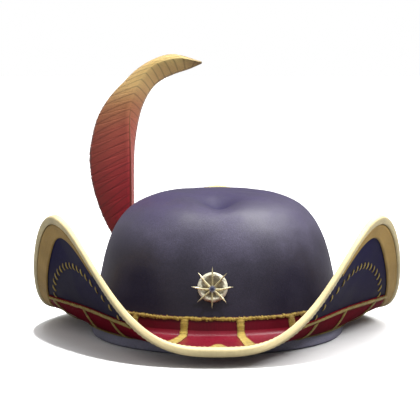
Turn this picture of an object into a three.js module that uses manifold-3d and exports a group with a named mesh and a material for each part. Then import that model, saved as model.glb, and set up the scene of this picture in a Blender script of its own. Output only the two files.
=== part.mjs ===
// Tricorn hat: an oval felt crown with a front dent, a brim cocked up on three sides, ribbons,
// gold lace, a bound edge, an eight-pointed star badge and a curled plume in a socket.
// Millimetres, +Z up, the front of the hat towards -Y. The hat stands on the foot of its crown.
import * as THREE from 'three';
import Module from 'manifold-3d';

const wasm = await Module();
wasm.setup();

// Driving sizes
const GAP = 0.3;                  // clearance between two pieces that touch
const OVAL = 1.136;               // a head is longer than it is wide
const CENTRING_SHIFT = 1.46;      // puts the middle of the brim's length over the origin
const CROWN_HALF_WIDTH = 88.5;
const CROWN_FELT = 3.0;
const BRIM_FELT = 2.0;
const BRIM_ROOT_HEIGHT = 10.5;    // middle of the brim's felt where it meets the crown
const BRIM_ROOT = CROWN_HALF_WIDTH + GAP;

// The edge of the brim at a low point and at the peak of a cocked lobe
const POINT_REACH = 126.7;
const POINT_HEIGHT = 9.9;
const PEAK_REACH = 123.9;
const PEAK_HEIGHT = 85.8;
const REAR_EXTRA = 1.8;           // the rear peak stands this much higher
const REAR_POWER = 6;
const REACH_POWER = 2.69;
const HEIGHT_POWER = 1.56;
const POINT_CURL = 3.2;           // power of the rise across the brim's width
const PEAK_CURL = 1.5;
const LOBES = 3;

// Ribbons and lace
const RIBBON = 0.8;
const LACE = 0.8;
const BRAID = 1.2;
const LINE_BOTTOM = 24.1;         // the gold line that runs level along the lobes
const LINE_TOP = 26.5;
const CROWN_LINE_BOTTOM = 22.2;   // the gold line round the crown
const CROWN_LINE_TOP = 24.6;
const CROWN_BAND_BOTTOM = 13.5;
const CROWN_LACE_BOTTOM = 16.6;
const CREASE_LINE_END = 0.063;    // share of the brim's width under the lower gold line
const MID_RIBBON = 0.35;          // share of the way from there to the level gold line
const BAR_PANELS = 15;
const FIELD_COLUMNS = 3;
const FIRST_BAR = 14;             // degrees from the front towards -X
const INNER_BAR_WIDTH = 3.3;      // degrees
const OUTER_BAR_WIDTH = 1.9;      // degrees

// Trim along the edge, by degrees from the front on either side: how far the binding's lips reach
// in from the middle of the edge, half its thickness, and how far from the middle of the edge the
// flat braid's inner side lies.
const EDGE_TRIM = [
  { turn: 0, lip: 3.4, half: 2.9, braid: 4.9 },
  { turn: 16, lip: 2.8, half: 2.7, braid: 4.3 },
  { turn: 30, lip: 1.2, half: 2.4, braid: 2.7 },
  { turn: 42, lip: 1.2, half: 2.4, braid: 3.0 },
  { turn: 51, lip: 1.9, half: 2.5, braid: 7.4 },
  { turn: 58, lip: 2.8, half: 2.8, braid: 12.2 },
  { turn: 70, lip: 1.8, half: 2.6, braid: 15.0 },
  { turn: 88, lip: 1.4, half: 2.4, braid: 12.9 },
  { turn: 105, lip: 2.2, half: 2.5, braid: 9.5 },
  { turn: 150, lip: 2.2, half: 2.5, braid: 9.5 },
  { turn: 180, lip: 2.8, half: 2.8, braid: 13.0 },
];
const BRAID_FROM = 38;            // no braid nearer the front point, in degrees
const BRAID_LEAST = 1.0;
const BRAID_GAP = GAP + 0.2;      // between the binding's lip and the braid
const RED_POINT_HALF_ANGLE = 25;  // the ribbon fills the brim to its edge this near the front
const BINDING = { rounding: 0.1, flat: 1.2, reach: 3.1, nose: 0.5, slotHalf: 1.5 };
const FULL_LIP = 3.4;
const FELT_END = 0.9;             // inside the middle of the edge, under a full lip
const FELT_FOLLOW = 0.42;         // how far the felt moves out for a shorter lip
const SLOT_ROOM = 0.8;            // from the felt's end to the bottom of the binding's slot

// Least room between neighbouring lines on the brim
const ROOM = { ribbonToEdge: 0.8, ribbonToBraid: 0.5, goldLine: 1.2, besideRibbon: 0.4 };

const COLOURS = {
  felt: 0x3a3648, binding: 0xe6dcb4, braid: 0x8a7040, ribbon: 0x7d1522, lace: 0xc0953f,
  boss: 0xd8ceb0, star: 0xe8dcae, plume: 0x9c4036, socket: 0x2c2833,
};

const degrees = (value) => value * Math.PI / 180;
const BISECTION_STEPS = 24;

// The place between low and high up to which the test holds.
function lastWhere(low, high, holds) {
  let [inside, outside] = [low, high];
  for (let step = 0; step < BISECTION_STEPS; step += 1) {
    const middle = (inside + outside) / 2;
    if (holds(middle)) inside = middle;
    else outside = middle;
  }
  return inside;
}

function material(colour, roughness, metalness = 0) {
  return new THREE.MeshStandardMaterial({ color: colour, roughness, metalness });
}

// Solids made of numbered corners

// Collects triangles, joins corners that lie together and drops faces with no area.
class SolidBuilder {
  constructor() {
    this.corners = [];
    this.lookup = new Map();
    this.faces = [];
  }

  corner(point) {
    const key = [point.x, point.y, point.z].map((value) => Math.round(value * 1e4)).join(' ');
    if (!this.lookup.has(key)) {
      this.lookup.set(key, this.corners.length);
      this.corners.push(point);
    }
    return this.lookup.get(key);
  }

  triangle(a, b, c) {
    const ids = [this.corner(a), this.corner(b), this.corner(c)];
    if (new Set(ids).size === 3) this.faces.push(ids);
  }

  quad(a, b, c, d) {
    this.triangle(a, b, c);
    this.triangle(a, c, d);
  }

  // A closed geometry whose faces point out, whichever way round they were added.
  geometry() {
    let volume = 0;
    for (const [a, b, c] of this.faces) {
      const cross = new THREE.Vector3().crossVectors(this.corners[b], this.corners[c]);
      volume += this.corners[a].dot(cross);
    }
    const faces = volume > 0 ? this.faces : this.faces.map(([a, b, c]) => [a, c, b]);
    const result = new THREE.BufferGeometry();
    const values = this.corners.flatMap((point) => [point.x, point.y, point.z]);
    result.setAttribute('position', new THREE.Float32BufferAttribute(values, 3));
    result.setIndex(faces.flat());
    return result;
  }
}

// Joins closed sections into a ring, or into a rod with flat ends.
function loft(sections, ring) {
  const solid = new SolidBuilder();
  const size = sections[0].length;
  const last = ring ? sections.length : sections.length - 1;
  for (let c = 0; c < last; c += 1) {
    const here = sections[c];
    const next = sections[(c + 1) % sections.length];
    for (let i = 0; i < size; i += 1) {
      const j = (i + 1) % size;
      solid.quad(here[i], next[i], next[j], here[j]);
    }
  }
  if (!ring) {
    const first = sections[0];
    const end = sections[sections.length - 1];
    for (let i = 1; i + 1 < size; i += 1) {
      solid.triangle(first[0], first[i], first[i + 1]);
      solid.triangle(end[0], end[i + 1], end[i]);
    }
  }
  return solid.geometry();
}

// A sheet between two skins of rows and columns, with only the wanted cells filled. Every cell
// of both skins is split the same way, so that sheets laid on each other stay apart.
function pierced(outer, inner, filled) {
  const solid = new SolidBuilder();
  const columns = outer.length;
  const rows = outer[0].length - 1;
  const isFilled = (c, i) => i >= 0 && i < rows && filled((c + columns) % columns, i);
  for (let c = 0; c < columns; c += 1) {
    const n = (c + 1) % columns;
    for (let i = 0; i < rows; i += 1) {
      if (!isFilled(c, i)) continue;
      solid.quad(outer[c][i], outer[n][i], outer[n][i + 1], outer[c][i + 1]);
      solid.quad(inner[c][i], inner[c][i + 1], inner[n][i + 1], inner[n][i]);
      if (!isFilled(c, i - 1)) solid.quad(outer[n][i], outer[c][i], inner[c][i], inner[n][i]);
      if (!isFilled(c, i + 1)) {
        solid.quad(outer[c][i + 1], outer[n][i + 1], inner[n][i + 1], inner[c][i + 1]);
      }
      if (!isFilled(c - 1, i)) {
        solid.quad(outer[c][i], outer[c][i + 1], inner[c][i + 1], inner[c][i]);
      }
      if (!isFilled(c + 1, i)) {
        solid.quad(outer[n][i + 1], outer[n][i], inner[n][i], inner[n][i + 1]);
      }
    }
  }
  return solid.geometry();
}

// Columns round the hat: a narrow one under each cross bar and wider ones between the bars.
function makeColumns(barWidth) {
  const columns = [];
  const panel = 360 / BAR_PANELS;
  for (let k = 0; k < BAR_PANELS; k += 1) {
    const start = FIRST_BAR + k * panel - barWidth / 2;
    columns.push({ angle: degrees(start), bar: true });
    for (let f = 0; f < FIELD_COLUMNS; f += 1) {
      const share = f / FIELD_COLUMNS;
      columns.push({ angle: degrees(start + barWidth + share * (panel - barWidth)), bar: false });
    }
  }
  return columns;
}

const innerColumns = makeColumns(INNER_BAR_WIDTH);
const outerColumns = makeColumns(OUTER_BAR_WIDTH);

function planPoint(angle, halfWidth, height) {
  return new THREE.Vector3(
    -halfWidth * Math.sin(angle), -OVAL * halfWidth * Math.cos(angle), height);
}

// Angle from the front point, 0 to 180 degrees on either side.
function turnFromFront(angle) {
  const turn = ((angle % (2 * Math.PI)) + 2 * Math.PI) % (2 * Math.PI);
  return THREE.MathUtils.radToDeg(Math.min(turn, 2 * Math.PI - turn));
}

// Crown

const CROWN_PROFILE = [
  { halfWidth: 88.5, height: 1.6 },
  { halfWidth: 88.5, height: 12.8 },
  { halfWidth: 85.6, height: 25.5 },
  { halfWidth: 82.1, height: 41.2 },
  { halfWidth: 78.8, height: 56 },
  { halfWidth: 74.2, height: 69.4 },
  { halfWidth: 67.6, height: 80.8 },
  { halfWidth: 58.9, height: 89.5 },
  { halfWidth: 46, height: 95.6 },
  { halfWidth: 33, height: 98.3 },
  { halfWidth: 21, height: 98.9 },
  { halfWidth: 10, height: 99 },
  { halfWidth: 0, height: 99 },
];
const CROWN_FOOT = [
  { halfWidth: 86.9, height: 0 },
  { halfWidth: 88.0, height: 0.5 },
];
// Knots of the profile that the crown's two skins follow, up the outside and down the inside
const OUTSIDE_KNOTS = [0, 1, 4, 5, 6, 7, 8, 9, 10, 12];
const INSIDE_KNOTS = [12, 9, 8, 7, 6, 5, 4, 1];
const CROWN_INNER_FOOT = CROWN_HALF_WIDTH - CROWN_FELT;

const DENT = {
  depth: 8.5, x: 1.5, y: -39, halfWidth: 13, halfLength: 19, taper: 0.012, least: 0.45, from: 60,
};
const WALL_LAST_KNOT = 8;         // where the profile turns over to the top
const FLAT_KNOTS = 0.02;          // this close to the middle of the top it faces straight up

const crownCurve = new THREE.CatmullRomCurve3(
  CROWN_PROFILE.map((row) => new THREE.Vector3(row.halfWidth, 0, row.height)),
  false, 'centripetal');
const lastKnot = CROWN_PROFILE.length - 1;

function crownBase(angle, knot) {
  const row = crownCurve.getPoint(THREE.MathUtils.clamp(knot / lastKnot, 0, 1));
  return planPoint(angle, Math.max(row.x, 0), row.z);
}

function crownNormal(angle, knot) {
  if (knot > lastKnot - FLAT_KNOTS) return new THREE.Vector3(0, 0, 1);
  const step = 0.01;
  const along = crownBase(angle + step, knot).sub(crownBase(angle - step, knot));
  const up = crownBase(angle, knot + step).sub(crownBase(angle, Math.max(knot - step, 0)));
  return new THREE.Vector3().crossVectors(up, along).normalize();
}

// The dent narrows towards the front, like the mark of a thumb.
function dentDepth(point) {
  const forward = DENT.y - point.y;
  const width = DENT.halfWidth * Math.max(DENT.least, 1 - DENT.taper * forward);
  const across = (point.x - DENT.x) / width;
  const length = forward / DENT.halfLength;
  return point.z > DENT.from ? DENT.depth * Math.exp(-across * across - length * length) : 0;
}

function crownPoint(angle, knot, offset) {
  const point = crownBase(angle, knot);
  return point.clone().addScaledVector(crownNormal(angle, knot), offset - dentDepth(point));
}

// The profile position, counted in knots, where the crown's side has the given height.
function knotAtHeight(height) {
  return lastWhere(0, WALL_LAST_KNOT, (knot) => crownCurve.getPoint(knot / lastKnot).z < height);
}

function crownWall(angle, height, offset) {
  return crownPoint(angle, knotAtHeight(height), offset);
}

function makeCrown() {
  const sections = innerColumns.map(({ angle }) => {
    const foot = CROWN_FOOT.map((row) => planPoint(angle, row.halfWidth, row.height));
    const outside = OUTSIDE_KNOTS.map((knot) => crownPoint(angle, knot, 0));
    const inside = INSIDE_KNOTS.map((knot) => crownPoint(angle, knot, -CROWN_FELT));
    return [...foot, ...outside, ...inside, planPoint(angle, CROWN_INNER_FOOT, 0)];
  });
  return loft(sections, true);
}

// Brim

// 0 at a low point of the brim, 1 at the peak of a lobe.
function lobeShare(angle) {
  return (1 - Math.cos(LOBES * angle)) / 2;
}

// How high the edge rises above the brim's root, and the power of that rise across the width.
function brimRise(angle) {
  const lobe = lobeShare(angle);
  const rear = REAR_EXTRA * Math.max(0, -Math.cos(angle)) ** REAR_POWER;
  const peak = PEAK_HEIGHT + rear - POINT_HEIGHT;
  const edge = POINT_HEIGHT + peak * lobe ** HEIGHT_POWER;
  return { lift: edge - BRIM_ROOT_HEIGHT, curl: POINT_CURL + (PEAK_CURL - POINT_CURL) * lobe };
}

// The middle of the brim's felt: share 0 at the crown, 1 at the middle of the binding.
function brimPoint(angle, share) {
  const lobe = lobeShare(angle);
  const reach = POINT_REACH + (PEAK_REACH - POINT_REACH) * lobe ** REACH_POWER;
  const { lift, curl } = brimRise(angle);
  const halfWidth = BRIM_ROOT + (reach - BRIM_ROOT) * share;
  return planPoint(angle, halfWidth, BRIM_ROOT_HEIGHT + lift * Math.max(share, 0) ** curl);
}

function brimAlong(angle, share) {
  const step = 0.002;
  return brimPoint(angle + step, share).sub(brimPoint(angle - step, share));
}

function brimOutward(angle, share) {
  const step = 0.002;
  const low = Math.max(share - step, 0);
  return brimPoint(angle, share + step).sub(brimPoint(angle, low)).divideScalar(share + step - low);
}

// Points up on a flat part of the brim and towards the crown on a lobe.
function brimNormal(angle, share) {
  const along = brimAlong(angle, share);
  return new THREE.Vector3().crossVectors(along, brimOutward(angle, share)).normalize();
}

function brimLayer(angle, share, offset) {
  return brimPoint(angle, share).addScaledVector(brimNormal(angle, share), offset);
}

const EDGE_STEPS = 720;
const EDGE_WINDOW = 70;           // steps to either side that can hold the nearest place
const edgeLine = Array.from({ length: EDGE_STEPS + 1 },
  (unused, k) => brimPoint(2 * Math.PI * k / EDGE_STEPS, 1));

// Shortest way from a point of the brim to the middle line of the binding.
function edgeDistance(angle, point) {
  const middle = Math.round(angle / (2 * Math.PI) * EDGE_STEPS);
  let best = Infinity;
  const nearest = new THREE.Vector3();
  for (let k = middle - EDGE_WINDOW; k < middle + EDGE_WINDOW; k += 1) {
    const from = edgeLine[(k + EDGE_STEPS) % EDGE_STEPS];
    const to = edgeLine[((k + EDGE_STEPS) % EDGE_STEPS) + 1];
    new THREE.Line3(from, to).closestPointToPoint(point, true, nearest);
    best = Math.min(best, nearest.distanceTo(point));
  }
  return best;
}

function shareAtEdgeDistance(angle, distance) {
  return lastWhere(0, 1, (share) => edgeDistance(angle, brimPoint(angle, share)) > distance);
}

function shareAtHeight(angle, height) {
  const { lift, curl } = brimRise(angle);
  const wanted = height - BRIM_ROOT_HEIGHT;
  return lift <= wanted ? Infinity : (wanted / lift) ** (1 / curl);
}

// The trim's sizes at an angle, on straight lines between the rows of the table.
function edgeTrim(angle) {
  const turn = turnFromFront(angle);
  const next = Math.max(EDGE_TRIM.findIndex((row) => row.turn >= turn), 1);
  const [from, to] = [EDGE_TRIM[next - 1], EDGE_TRIM[next]];
  const share = (turn - from.turn) / (to.turn - from.turn);
  const between = (name) => THREE.MathUtils.lerp(from[name], to[name], share);
  return {
    lip: between('lip'),
    half: between('half'),
    braid: between('braid'),
    feltEnd: FELT_END - FELT_FOLLOW * (FULL_LIP - between('lip')),
  };
}

// Design lines across the brim at one angle, as shares of its width from the crown out:
// root, crease line, mid ribbon, gold line's two edges, braid's two edges, end of the felt.
function designLines(angle) {
  const trim = edgeTrim(angle);
  const felt = 1 - (1 - shareAtEdgeDistance(angle, FELT_END)) * trim.feltEnd / FELT_END;
  const edge = shareAtEdgeDistance(angle, trim.lip + BRAID_GAP);
  const perMillimetre = 1 / brimOutward(angle, edge).length();
  const hasBraid = turnFromFront(angle) > BRAID_FROM;
  const braid = Math.min(
    shareAtEdgeDistance(angle, trim.braid), edge - BRAID_LEAST * perMillimetre);
  const limit = hasBraid
    ? braid - ROOM.ribbonToBraid * perMillimetre : edge - ROOM.ribbonToEdge * perMillimetre;
  const lineTop = Math.min(shareAtHeight(angle, LINE_TOP), limit);
  const lineBottom = Math.min(
    shareAtHeight(angle, LINE_BOTTOM), lineTop - ROOM.goldLine * perMillimetre);
  const midRibbon = CREASE_LINE_END + MID_RIBBON * (lineBottom - CREASE_LINE_END);
  return {
    root: 0,
    crease: CREASE_LINE_END,
    laceRoot: (CREASE_LINE_END + midRibbon) / 2,
    midRibbon,
    lineBottom,
    lineTop,
    braidIn: hasBraid ? braid : Math.max((lineTop + edge) / 2,
      lineTop + ROOM.besideRibbon * perMillimetre),
    edge,
    felt,
  };
}

for (const column of [...innerColumns, ...outerColumns]) {
  column.lines = designLines(column.angle);
  column.turn = turnFromFront(column.angle);
  column.onLine = shareAtHeight(column.angle, LINE_TOP) <= column.lines.lineTop;
}

const FELT_LINES = ['root', 'crease', 'midRibbon', 'lineTop', 'braidIn', 'edge', 'felt'];

function makeBrim() {
  const skin = (columns, offset) => columns.map(({ angle, lines }) => {
    const rows = FELT_LINES.map((name) => brimLayer(angle, lines[name], offset));
    // The inner edge stands upright, so that it keeps its clearance to the crown.
    rows[0] = planPoint(angle, BRIM_ROOT, BRIM_ROOT_HEIGHT + offset);
    return rows;
  });
  const half = BRIM_FELT / 2;
  return pierced(skin(innerColumns, half), skin(outerColumns, -half), () => true);
}

const LAYER_ROOT = BRIM_ROOT + 0.1;

// Keeps a layer's inner edge as far from the crown as the felt's own inner edge.
function clearOfCrown(point) {
  const halfWidth = Math.hypot(point.x, point.y / OVAL);
  const scale = Math.max(1, LAYER_ROOT / halfWidth);
  return new THREE.Vector3(point.x * scale, point.y * scale, point.z);
}

// Lines that the felt has no corner on lie on the straight between two that it has.
const LINES_BETWEEN = {
  laceRoot: ['crease', 'midRibbon'],
  lineBottom: ['midRibbon', 'lineTop'],
};

// A face of the brim: side +1 is the upper face, -1 the under face.
function brimSkins(columns, names, side, from, to) {
  const corner = ({ angle, lines }, name, offset) => (
    clearOfCrown(brimLayer(angle, lines[name], side * (BRIM_FELT / 2 + offset))));
  const point = (column, name, offset) => {
    if (!(name in LINES_BETWEEN)) return corner(column, name, offset);
    const [low, high] = LINES_BETWEEN[name];
    const { lines } = column;
    const share = (lines[name] - lines[low]) / (lines[high] - lines[low]);
    return corner(column, low, offset).lerp(corner(column, high, offset), share);
  };
  const skin = (offset) => columns.map((column) => (
    names.map((name) => point(column, name, offset))));
  return [skin(from), skin(to)];
}

function brimSheet(columns, names, side, from, to, filled) {
  const [near, far] = brimSkins(columns, names, side, from, to);
  return pierced(far, near, filled);
}

const RIBBON_LINES = ['root', 'crease', 'midRibbon', 'lineTop', 'edge'];
const RIBBON_ROWS = 3;            // the last row of cells is filled at the red point alone
const ribbonFrom = GAP;
const ribbonTo = GAP + RIBBON;
const laceFrom = ribbonTo + GAP;
const laceTo = laceFrom + LACE;

function inRedPoint(columns, c) {
  const next = columns[(c + 1) % columns.length];
  return columns[c].turn < RED_POINT_HALF_ANGLE && next.turn < RED_POINT_HALF_ANGLE;
}

function makeBrimRibbon(columns, side) {
  return brimSheet(columns, RIBBON_LINES, side, ribbonFrom, ribbonTo,
    (c, i) => i < RIBBON_ROWS || inRedPoint(columns, c));
}

// The level gold line is on the brim where it crosses both this column and the next.
function onLine(columns, c) {
  return columns[c].onLine && columns[(c + 1) % columns.length].onLine;
}

const LACE_LINES = ['root', 'crease', 'midRibbon', 'lineBottom', 'lineTop'];
const LOBE_LACE_LINES = ['laceRoot', 'midRibbon', 'lineBottom', 'lineTop'];
const UNDER_ROW = { crease: 0, level: 3 };
const LOBE_LEVEL_ROW = 2;
const LOBE_HALF_ANGLE = 50;

function makeUnderLace() {
  return brimSheet(outerColumns, LACE_LINES, -1, laceFrom, laceTo, (c, i) => {
    if (i === UNDER_ROW.crease) return true;
    if (i === UNDER_ROW.level) return onLine(outerColumns, c);
    return outerColumns[c].bar;
  });
}

// The lace on the upper face of one lobe: its piece of the level line and the bars below it.
function makeLobeLace(peak) {
  const nearPeak = (c) => {
    return turnFromFront(innerColumns[c].angle - degrees(peak)) < LOBE_HALF_ANGLE;
  };
  return brimSheet(innerColumns, LOBE_LACE_LINES, 1, laceFrom, laceTo, (c, i) => {
    if (!nearPeak(c) || !onLine(innerColumns, c)) return false;
    return i === LOBE_LEVEL_ROW || innerColumns[c].bar;
  });
}

function makeBraid(columns, side) {
  const wanted = (c) => {
    const next = columns[(c + 1) % columns.length];
    return columns[c].turn > BRAID_FROM && next.turn > BRAID_FROM;
  };
  return brimSheet(columns, ['braidIn', 'edge'], side, ribbonFrom, GAP + BRAID, wanted);
}

// The binding's section: a C round the felt's edge, square to the run of the edge.
function bindingSection(trim) {
  const slot = SLOT_ROOM - trim.feltEnd;
  const lip = trim.half - BINDING.rounding;
  const nose = trim.half * BINDING.nose;
  return [
    { out: -trim.lip, up: lip },
    { out: BINDING.flat, up: trim.half },
    { out: BINDING.reach, up: nose },
    { out: BINDING.reach, up: -nose },
    { out: BINDING.flat, up: -trim.half },
    { out: -trim.lip, up: -lip },
    { out: -trim.lip, up: -BINDING.slotHalf },
    { out: slot, up: -BINDING.slotHalf },
    { out: slot, up: BINDING.slotHalf },
    { out: -trim.lip, up: BINDING.slotHalf },
  ];
}

function makeBinding() {
  const sections = innerColumns.map(({ angle }) => {
    const middle = brimPoint(angle, 1);
    const run = brimAlong(angle, 1).normalize();
    const up = brimNormal(angle, 1);
    const out = new THREE.Vector3().crossVectors(up, run).normalize();
    return bindingSection(edgeTrim(angle)).map((corner) => middle.clone()
      .addScaledVector(out, corner.out)
      .addScaledVector(up, corner.up));
  });
  return loft(sections, true);
}

// Ribbon and lace on the crown

function makeCrownBand() {
  const heights = [CROWN_BAND_BOTTOM, CROWN_LINE_TOP];
  const sections = innerColumns.map(({ angle }) => [
    ...heights.map((height) => crownWall(angle, height, ribbonTo)),
    ...heights.toReversed().map((height) => crownWall(angle, height, ribbonFrom)),
  ]);
  return loft(sections, true);
}

// Bars near the low points run on across the crease and out over the brim.
function makeCrownLace() {
  const heights = [CROWN_LINE_TOP, CROWN_LINE_BOTTOM, CROWN_LACE_BOTTOM];
  const shares = ['crease', 'midRibbon', 'lineTop'];
  const skin = (offset) => innerColumns.map(({ angle, lines }) => {
    const wall = heights.map((height) => crownWall(angle, height, offset));
    const brim = shares.map((name) => brimLayer(angle, lines[name], BRIM_FELT / 2 + offset));
    return [...wall, ...brim];
  });
  return pierced(skin(laceTo), skin(laceFrom), (c, i) => {
    if (i === 0) return true;
    if (!innerColumns[c].bar) return false;
    return i === 1 || !onLine(innerColumns, c);
  });
}

// Badge

const BADGE = { x: -2.9, height: 43.6 };
const BOSS = {
  radius: 10, rim: 7.6, land: 1, floor: 4, floorRise: 0.3, step: 1.2, recess: 1.6, height: 3.4,
  bevel: 1.3, backRing: 5, sides: 24,
};
const STAR = {
  points: 8, tip: 13.7, root: 2.4, waist: 8.2, waistHalf: 0.75, tipHalf: 0.2, edge: 0.4, thick: 1.3,
};
const SEATING_STEPS = 20;
const WALL_STEPS = 12;

// Badge frame: right and up lie in the face of the badge, out points away from the crown.
function badgeFrame() {
  let angle = 0;
  for (let step = 0; step < SEATING_STEPS; step += 1) {
    const wall = crownWall(angle, BADGE.height, 0);
    angle += (wall.x - BADGE.x) / CROWN_HALF_WIDTH;
  }
  const seat = crownWall(angle, BADGE.height, 0);
  const out = crownNormal(angle, knotAtHeight(BADGE.height));
  const right = new THREE.Vector3(0, 0, 1).cross(out).normalize();
  const up = new THREE.Vector3().crossVectors(out, right);
  return { seat, out, right, up };
}

const badge = badgeFrame();

function badgePoint(radius, turn, height) {
  return badge.seat.clone()
    .addScaledVector(badge.right, radius * Math.cos(turn))
    .addScaledVector(badge.up, radius * Math.sin(turn))
    .addScaledVector(badge.out, height);
}

// How far the crown's wall lies behind the badge's plane under a point of the badge.
function wallDepth(radius, turn) {
  let depth = 0;
  for (let step = 0; step < WALL_STEPS; step += 1) {
    const point = badgePoint(radius, turn, -depth);
    const angle = Math.atan2(-point.x * OVAL, -point.y);
    const wall = crownWall(angle, point.z, 0);
    depth -= (wall.y - point.y) * badge.out.y;
  }
  return depth;
}

// A dished disc with a bevelled rim whose back follows the crown.
function makeBoss() {
  const low = BOSS.height - BOSS.recess;
  const rings = [
    { radius: BOSS.floor, height: low },
    { radius: BOSS.rim - BOSS.step, height: low + BOSS.floorRise },
    { radius: BOSS.rim, height: BOSS.height },
    { radius: BOSS.rim + BOSS.land, height: BOSS.height },
    { radius: BOSS.radius, height: BOSS.height - BOSS.bevel },
  ];
  const solid = new SolidBuilder();
  const turnAt = (k) => 2 * Math.PI * (k % BOSS.sides) / BOSS.sides;
  const back = (radius, k) => {
    const turn = turnAt(k);
    return badgePoint(radius, turn, GAP - wallDepth(radius, turn));
  };
  for (let k = 0; k < BOSS.sides; k += 1) {
    const front = (ring, j) => badgePoint(ring.radius, turnAt(j), ring.height);
    solid.triangle(badgePoint(0, 0, rings[0].height), front(rings[0], k), front(rings[0], k + 1));
    for (let r = 0; r + 1 < rings.length; r += 1) {
      const near = rings[r];
      const far = rings[r + 1];
      solid.quad(front(near, k), front(far, k), front(far, k + 1), front(near, k + 1));
    }
    const rim = rings[rings.length - 1];
    solid.quad(front(rim, k), back(BOSS.radius, k), back(BOSS.radius, k + 1), front(rim, k + 1));
    const inner = [back(BOSS.backRing, k), back(BOSS.backRing, k + 1)];
    solid.quad(back(BOSS.radius, k), inner[0], inner[1], back(BOSS.radius, k + 1));
    solid.triangle(inner[0], badgePoint(0, 0, GAP), inner[1]);
  }
  return solid.geometry();
}

// Eight slim ridged rays round a small hub.
function makeStar() {
  const base = BOSS.height + GAP;
  const solid = new SolidBuilder();
  const pitch = 2 * Math.PI / STAR.points;
  const hubTop = badgePoint(0, 0, base + STAR.thick);
  const hubBack = badgePoint(0, 0, base);
  for (let k = 0; k < STAR.points; k += 1) {
    const turn = Math.PI / 2 + k * pitch;
    const ridge = badgePoint(STAR.waist, turn, base + STAR.thick);
    const tip = badgePoint(STAR.tip, turn, base + STAR.tipHalf);
    const tipBack = badgePoint(STAR.tip, turn, base);
    const rim = (side, height) => {
      const spread = side * Math.atan2(STAR.waistHalf, STAR.waist);
      return badgePoint(STAR.waist, turn + spread, height);
    };
    const valley = (side, height) => badgePoint(STAR.root, turn + side * pitch / 2, height);
    for (const side of [-1, 1]) {
      const flip = (a, b, c) => (side > 0 ? solid.triangle(a, b, c) : solid.triangle(a, c, b));
      const low = base + STAR.edge;
      flip(hubTop, ridge, valley(side, low));
      flip(ridge, rim(side, low), valley(side, low));
      flip(ridge, tip, rim(side, low));
      flip(rim(side, low), rim(side, base), valley(side, base));
      flip(rim(side, low), valley(side, base), valley(side, low));
      flip(rim(side, low), tip, rim(side, base));
      flip(tip, tipBack, rim(side, base));
      flip(hubBack, valley(side, base), rim(side, base));
      flip(hubBack, rim(side, base), tipBack);
    }
  }
  return solid.geometry();
}

// Plume

// Seen from the front: the ridge over the quill and the feather's outer and inner edges.
const PLUME_ROWS = [
  { ridgeX: -66.0, ridgeZ: 54, outerX: -67.8, outerZ: 53, innerX: -64.0, innerZ: 53 },
  { ridgeX: -65.5, ridgeZ: 64, outerX: -72.5, outerZ: 53, innerX: -62.6, innerZ: 60 },
  { ridgeX: -64.6, ridgeZ: 82, outerX: -83.5, outerZ: 70, innerX: -61.8, innerZ: 78 },
  { ridgeX: -64.6, ridgeZ: 101, outerX: -90.2, outerZ: 88, innerX: -61.8, innerZ: 96 },
  { ridgeX: -64.6, ridgeZ: 116, outerX: -93.6, outerZ: 104, innerX: -61.6, innerZ: 112 },
  { ridgeX: -64.8, ridgeZ: 130, outerX: -94.5, outerZ: 119, innerX: -61.0, innerZ: 126 },
  { ridgeX: -65.0, ridgeZ: 143, outerX: -92.5, outerZ: 133, innerX: -59.2, innerZ: 139 },
  { ridgeX: -64.2, ridgeZ: 155, outerX: -87.6, outerZ: 149, innerX: -56.2, innerZ: 152 },
  { ridgeX: -60.4, ridgeZ: 167, outerX: -78.8, outerZ: 163, innerX: -51.6, innerZ: 163 },
  { ridgeX: -54.6, ridgeZ: 177, outerX: -69.5, outerZ: 173, innerX: -45.8, innerZ: 171 },
  { ridgeX: -47.5, ridgeZ: 185, outerX: -58.9, outerZ: 183, innerX: -38.8, innerZ: 176 },
  { ridgeX: -38.8, ridgeZ: 189, outerX: -47.5, outerZ: 190, innerX: -29.6, innerZ: 180 },
  { ridgeX: -27.0, ridgeZ: 191, outerX: -33.0, outerZ: 194, innerX: -20.6, innerZ: 183 },
  { ridgeX: -11.0, ridgeZ: 188, outerX: -11.6, outerZ: 188.8, innerX: -11.4, innerZ: 187 },
];
const PLUME_FOOT = { x: -65.9, depth: 68, height: 30 };
const PLUME_LEAN = 0.06;          // forward for each millimetre up
const OUTER_VANE_BACK = 4;
const INNER_VANE_BACK = 8;
const LOCKS = 26;
const LOCK_TOP = 0.45;            // share of a lock's length where it is thickest
const VANE = { ridge: 2.2, lock: 1.1, groove: 0.7, edge: 0.7, bulge: 1.2, least: 0.45 };
const SLIM = { foot: 6, tip: 5, least: 0.12 };  // how fast the feather gets thin at its ends
const QUILL = { radius: 2.0, footRadius: 1.2, taper: 3, length: 20, sides: 8 };

function plumeDepth(height) {
  return PLUME_FOOT.depth - PLUME_LEAN * (height - PLUME_FOOT.height);
}

const plumeCurve = (xName, zName) => new THREE.CatmullRomCurve3(
  PLUME_ROWS.map((row) => new THREE.Vector3(row[xName], plumeDepth(row[zName]), row[zName])));
const ridgeCurve = plumeCurve('ridgeX', 'ridgeZ');
const outerCurve = plumeCurve('outerX', 'outerZ');
const innerCurve = plumeCurve('innerX', 'innerZ');

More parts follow.
